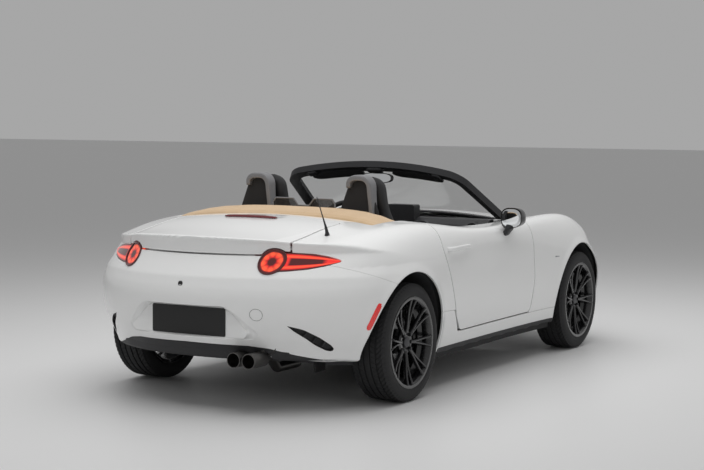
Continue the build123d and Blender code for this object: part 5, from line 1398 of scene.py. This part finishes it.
# %% Hoops and the wind deflector
HOOP_X, DEFLECTOR_X, WELL_FLOOR = -0.752, -0.783, 0.708
HOOP_LINE = ((0.050, 1.078), (0.046, 1.108), (0.026, 1.126), (-0.012, 1.131), (-0.050, 1.126),
             (-0.072, 1.104), (-0.080, 1.060), (-0.087, 0.98), (-0.094, 0.86), (-0.098, WELL_FLOOR))
FRAME_LINE = [(-0.200, 0.706), (-0.200, 0.985), (-0.182, 1.010), (-0.066, 1.010), (-0.036, 0.972),
              (0.036, 0.972), (0.066, 1.010), (0.182, 1.010), (0.200, 0.985), (0.200, 0.706)]
hoop_satin = moulded("satin_grey_hoop", (0.27, 0.27, 0.28), 0.38, 900.0, 0.10, metallic=0.35)
net = Finish("deflector_net", roughness=0.5)
place = net.place()
holes = (net.axis(place, "Y") * 500.0).sin().abs() * (net.axis(place, "Z") * 500.0).sin().abs()
net.set(base_color=(0.02, 0.02, 0.021), alpha=1.0 - holes.between(0.35, 0.55) * 0.75)
hoops, covers, rods = [], [], []
for middle in (-0.332, 0.318):
    path = smooth_path([(HOOP_X, middle + y, z) for y, z in HOOP_LINE], 70)
    size = np.interp(np.linspace(0, 1, 70), [0, 0.08, 0.2, 0.45, 1], [0.85, 1.0, 1.0, 0.82, 0.6])
    hoops.append(capped(carried(path, oval(0.017, 0.040, 5.0, 32), up=(1, 0, 0), size=size)))
    heights = np.linspace(WELL_FLOOR, 1.112, 30)
    widths = np.interp(heights, [0.7, 0.95, 1.05, 1.112], [0.150, 0.118, 0.080, 0.055])
    u, v = oval(1.0, 1.0, 3.5, 40).T
    covers.append(capped([np.stack([-0.745 + v * 0.020, middle + u * width, np.full(40, height)], -1)
                          for height, width in zip(heights, widths)]))
for (y0, z0), (y1, z1) in zip(FRAME_LINE, FRAME_LINE[1:]):
    path = np.linspace((DEFLECTOR_X, y0, z0), (DEFLECTOR_X, y1, z1), 12)
    rods.append(capped(carried(path, oval(0.0042, 0.0055, 2.4, 14), up=(1, 0, 0))))
settle(formed("hoop_trims", joined(*hoops), hoop_satin, 1.2), "car_body", "hoop_trim", "roll_hoops")
settle(formed("hoop_panels", joined(*covers), mesh_cloth, 0.9), "car_body", "black_trim")
settle(formed("deflector_frame", joined(*rods), hoop_satin, 1.2), "car_body", "black_trim", "wind_deflector")
sheet = facing_disc(np.array(FRAME_LINE) - (0, 0.85), (DEFLECTOR_X, 0, 0.85),
                    ((-0.001, 0.02), (-0.001, 0.995), (0.001, 0.995), (0.001, 0.02)))
settle(formed("deflector_net", sheet, net, 0.5), "car_body", "black_trim")
print("hoops and deflector stand on the well's floor")

# %% [markdown]
# The tub under the panels is painted like them, with black wheel houses and a dark cabin. Under the car, in
# the engine bay and at the tail's lower end it is painted near black as well: painted shade, where the tub
# shows through shut lines and under the body. The outer skin is rounder at the corners than the tub, so a
# copy of it is drawn in there: every point goes down the slope of the body's distance until it lies well
# under the skin.

# %% Structure under the skin
tub_paint = Finish("tub_paint_carpet_and_painted_shade", roughness=0.5)
where = tub_paint.place()
along, across, up = (tub_paint.axis(where, name) for name in "XYZ")
across = across.abs()
# Painted shade: near black under the car, in the engine bay and at the tail's lower end. The wheel houses'
# black liners and the cabin's dark carpet are their own colour.
under = 1.0 - up.between(0.325, 0.335)
houses = 0.0
for axle_x in AXLES_X:
    reach = ((along - axle_x) ** 2.0 + (up - AXLE_Z) ** 2.0) ** 0.5
    houses = (1.0 - reach.between(0.435, 0.440)) * across.between(0.440, 0.450) + houses
cabin = along.between(-1.16, -1.15) * (1.0 - along.between(0.60, 0.61)) * (1.0 - across.between(0.700, 0.706))
bay = along.between(0.60, 0.61) * (1.0 - across.between(0.44, 0.45)) * (1.0 - up.between(0.70, 0.71))
tail_end = (1.0 - along.between(-1.80, -1.79)) * (1.0 - up.between(0.50, 0.51))
dark = (under + houses + cabin + bay + tail_end).clamp()
carpet = tub_paint.noise(500.0)
black_and_painted_shade = tub_paint.mix(carpet, (0.010, 0.010, 0.011), (0.030, 0.030, 0.031))
tub_paint.set(base_color=tub_paint.mix(dark, (0.78, 0.785, 0.78), black_and_painted_shade), roughness=dark * 0.45 + 0.35,
              normal=tub_paint.bump(carpet, 0.2, 0.0008))
TUB_TAIL_X, TUB_NOSE_X, TUB_LOW_Z = -1.35, 1.45, 0.30


def drawn_in(name, node, depth, finish):
    """Copy of a CAD part whose points, near the car's ends, move down to a depth under the skin."""
    mesh = NODES[node].data
    points = np.empty(len(mesh.vertices) * 3)
    mesh.vertices.foreach_get("co", points)
    points = points.reshape(-1, 3)
    near_end = ((points[:, 0] < TUB_TAIL_X) | (points[:, 0] > TUB_NOSE_X)) & (points[:, 2] > TUB_LOW_Z)
    for _ in range(8):
        over = np.clip(body_gap(*points.T) + depth, 0, 0.12) * near_end
        moved = over > 0
        points[moved] -= slope_of(body_gap, points[moved]) * over[moved, None]
    return mesh_piece(name, points, [face.vertices for face in mesh.polygons], finish)


tub = drawn_in("structure_under_skin", "body_tub", 0.016, tub_paint)
tub.data.set_sharp_from_angle(angle=0.6)
settle(tub, "car_body", "structure_paint", "body_tub")
print("the tub lies under the skin")

# %% Lower edge of the tail
BLADE_HALF, BLADE_STEPS = 0.50, 90
ys = np.linspace(-BLADE_HALF, BLADE_HALF, BLADE_STEPS)
path = on_the_end(ys, 0.330, TAIL) + np.array([0.012, 0, -0.018])
lows = np.interp(ys, [-0.50, -0.45, -0.43, -0.235, -0.215, 0.45, 0.50],
                 [0.290, 0.284, 0.302, 0.302, 0.276, 0.280, 0.290])
tops = np.interp(np.abs(ys), [0.33, 0.42, 0.50], [0.342, 0.330, 0.306])
blade = []
for (x, y, _), low, top in zip(path, lows, tops):
    outline = [(0.0, top), (-0.004, top - 0.008), (-0.002, (top + low) / 2), (0.006, low), (0.013, low),
               (0.012, top - 0.008), (0.012, top)]
    blade.append([(x + out, y, z) for out, z in outline])
settle(formed("rear_lower_blade", capped(blade), black_trim, 0.8), "car_body", "black_trim")
STOP_LAMP_X, STOP_LAMP_HALF = -1.318, 0.162
ys = np.linspace(-STOP_LAMP_HALF, STOP_LAMP_HALF, 60)
deck = on_skin(STOP_LAMP_X, ys, 0.6, (0, 0, 1), 0.8)
size = np.sqrt(np.clip(1 - np.abs(ys / (STOP_LAMP_HALF + 0.001)) ** 6, 0, 1)) * 0.9 + 0.1
bar = capped(carried(deck + np.array([0, 0, 0.0045]), oval(0.020, 0.0085, 2.6), size=size))
stop_red = Finish("unlit_stop_lamp", roughness=0.10, coat_weight=1.0)
stop_red.set(base_color=stop_red.mix(stop_red.noise(90.0), (0.10, 0.006, 0.010), (0.17, 0.010, 0.014)))
settle(formed("stop_lamp_bar", bar, stop_red, 1.2), "trunk_lid", "lamp_lens_red", "stop_lamp")
print("the tail's edges are closed")

# %% [markdown]
# The windscreen is a sheet bent to a large radius and leaning back. What hangs under its header is placed by
# two numbers on that sheet: how far across, and how far up the slope from its foot.

# %% Under the windscreen's header
SCREEN_LEAN, SCREEN_RADIUS = math.radians(27.4), 2.5
SCREEN_FOOT = np.array([0.640, 0, 0.868])
SCREEN_SLOPE = np.array([-math.cos(SCREEN_LEAN), 0, math.sin(SCREEN_LEAN)])
SCREEN_NORMAL = np.array([math.sin(SCREEN_LEAN), 0, math.cos(SCREEN_LEAN)])
VISOR_Y, VISOR_UP, VISOR_OFF = 0.27, 0.622, -0.028
LATCHES = ((0.0, 0.055, 0.020), (-0.42, 0.030, 0.016), (0.42, 0.030, 0.016))
LATCH_UP, LATCH_OFF = 0.672, -0.030
CABIN_MIRROR_Z, CABIN_MIRROR_LEAN = 1.098, 0.12


def on_screen(y, up_slope, off):
    """Point by the windscreen's sheet: y across, up_slope from its foot, and off along the normal."""
    sag = math.sqrt(SCREEN_RADIUS**2 - y * y) - SCREEN_RADIUS
    return SCREEN_FOOT + (0, y, 0) + SCREEN_SLOPE * up_slope + SCREEN_NORMAL * (off + sag)


visors, blocks = [], []
for sign in (-1, 1):
    rings = []
    for y in np.linspace(0.10, 0.44, 30):
        edge = math.sqrt(max(1 - abs((y - VISOR_Y) / 0.172) ** 6, 0.02))
        rings.append([on_screen(sign * y, VISOR_UP + a, VISOR_OFF + b)
                      for a, b in oval(0.046 * edge, 0.0065, 3.0)])
    visors.append(capped(rings))
for y, half, deep in LATCHES:
    rings = []
    for x in np.linspace(-half, half, 16):
        edge = math.sqrt(max(1 - abs(x / (half * 1.01)) ** 6, 0.04))
        rings.append([on_screen(y + x, LATCH_UP + a, LATCH_OFF + b)
                      for a, b in oval(0.024 * edge, deep * edge, 3.2, 20)])
    blocks.append(capped(rings))
settle(formed("sun_visors", joined(*visors), mesh_cloth, 0.9), "car_body", "black_trim")
settle(formed("latch_plates", joined(*blocks), black_trim, 0.9), "car_body", "black_trim")
outline = oval(0.112, 0.031, 2.8, 64)
housing = facing_disc(outline, (0.050, 0, CABIN_MIRROR_Z),
                      ((0.0, 0.15), (0.0, 0.9), (0.002, 0.985), (0.008, 1.0), (0.020, 0.93), (0.027, 0.6),
                       (0.028, 0.2)), CABIN_MIRROR_LEAN)
glass = facing_disc(outline, (0.0493, 0, CABIN_MIRROR_Z),
                    ((0.0015, 0.87), (-0.0006, 0.86), (-0.0008, 0.4), (-0.0008, 0.1)), CABIN_MIRROR_LEAN)
foot = on_screen(0.0, 0.585, -0.004)
arm = smooth_path([(0.072, 0, 1.100), (0.085, 0, 1.122), foot + (0.006, 0, -0.02), foot], 24)
arm = capped(carried(arm, oval(0.009, 0.007, 2.2, 16), up=(0, 1, 0)))
settle(formed("cabin_mirror", housing, gloss_black, 0.7), "car_body", "black_trim", "inner_mirror")
settle(formed("cabin_mirror_glass", glass, MIRROR_GLASS, 0.7), "car_body", "black_trim")
settle(formed("cabin_mirror_arm", arm, black_trim, 1.2), "car_body", "black_trim")
print("header is furnished")

# %% [markdown]
# ## Studio
# A wide pale floor, a soft sky of light all round, and three broad lamps that the lacquer doesn't mirror. The
# sky is also the backdrop.

# %% Floor and lights
world = bpy.data.worlds.new("soft_sky")
bpy.context.scene.world = world
world.use_nodes = True
sky = world.node_tree.nodes["Background"]
sky.inputs["Color"].default_value = (0.82, 0.82, 0.82, 1)
sky.inputs["Strength"].default_value = 0.47
FLOOR_HALF = 60
floor_finish = Finish("pale_floor", base_color=(0.63, 0.63, 0.63), roughness=0.45)
floor_corners = np.array([(-1, -1, 0), (1, -1, 0), (1, 1, 0), (-1, 1, 0)]) * FLOOR_HALF
floor = mesh_piece("studio_floor", floor_corners, [(0, 1, 2, 3)], floor_finish)


def softbox(name, place, target, size, power):
    """Rectangular lamp at place that faces target and isn't mirrored by the paint."""
    data = bpy.data.lights.new(name, "AREA")
    data.shape, data.size, data.size_y, data.energy = "RECTANGLE", *size, power
    lamp = bpy.data.objects.new(name, data)
    lamp.visible_glossy = False
    way = Vector(target) - Vector(place)
    lamp.matrix_world = Matrix.Translation(place) @ way.to_track_quat("-Z", "Y").to_matrix().to_4x4()
    bpy.context.scene.collection.objects.link(lamp)


softbox("ceiling_light", (0, 0, 4.2), (0, 0, 0), (8, 5), 235)
softbox("rear_light", (-7, -3, 3.4), (-1, 0, 0.5), (5, 3), 30)
softbox("side_light", (2.5, -7, 3.0), (0, 0, 0.5), (5, 2), 22)
bpy.context.scene.view_settings.view_transform = "Standard"
print("studio is lit")
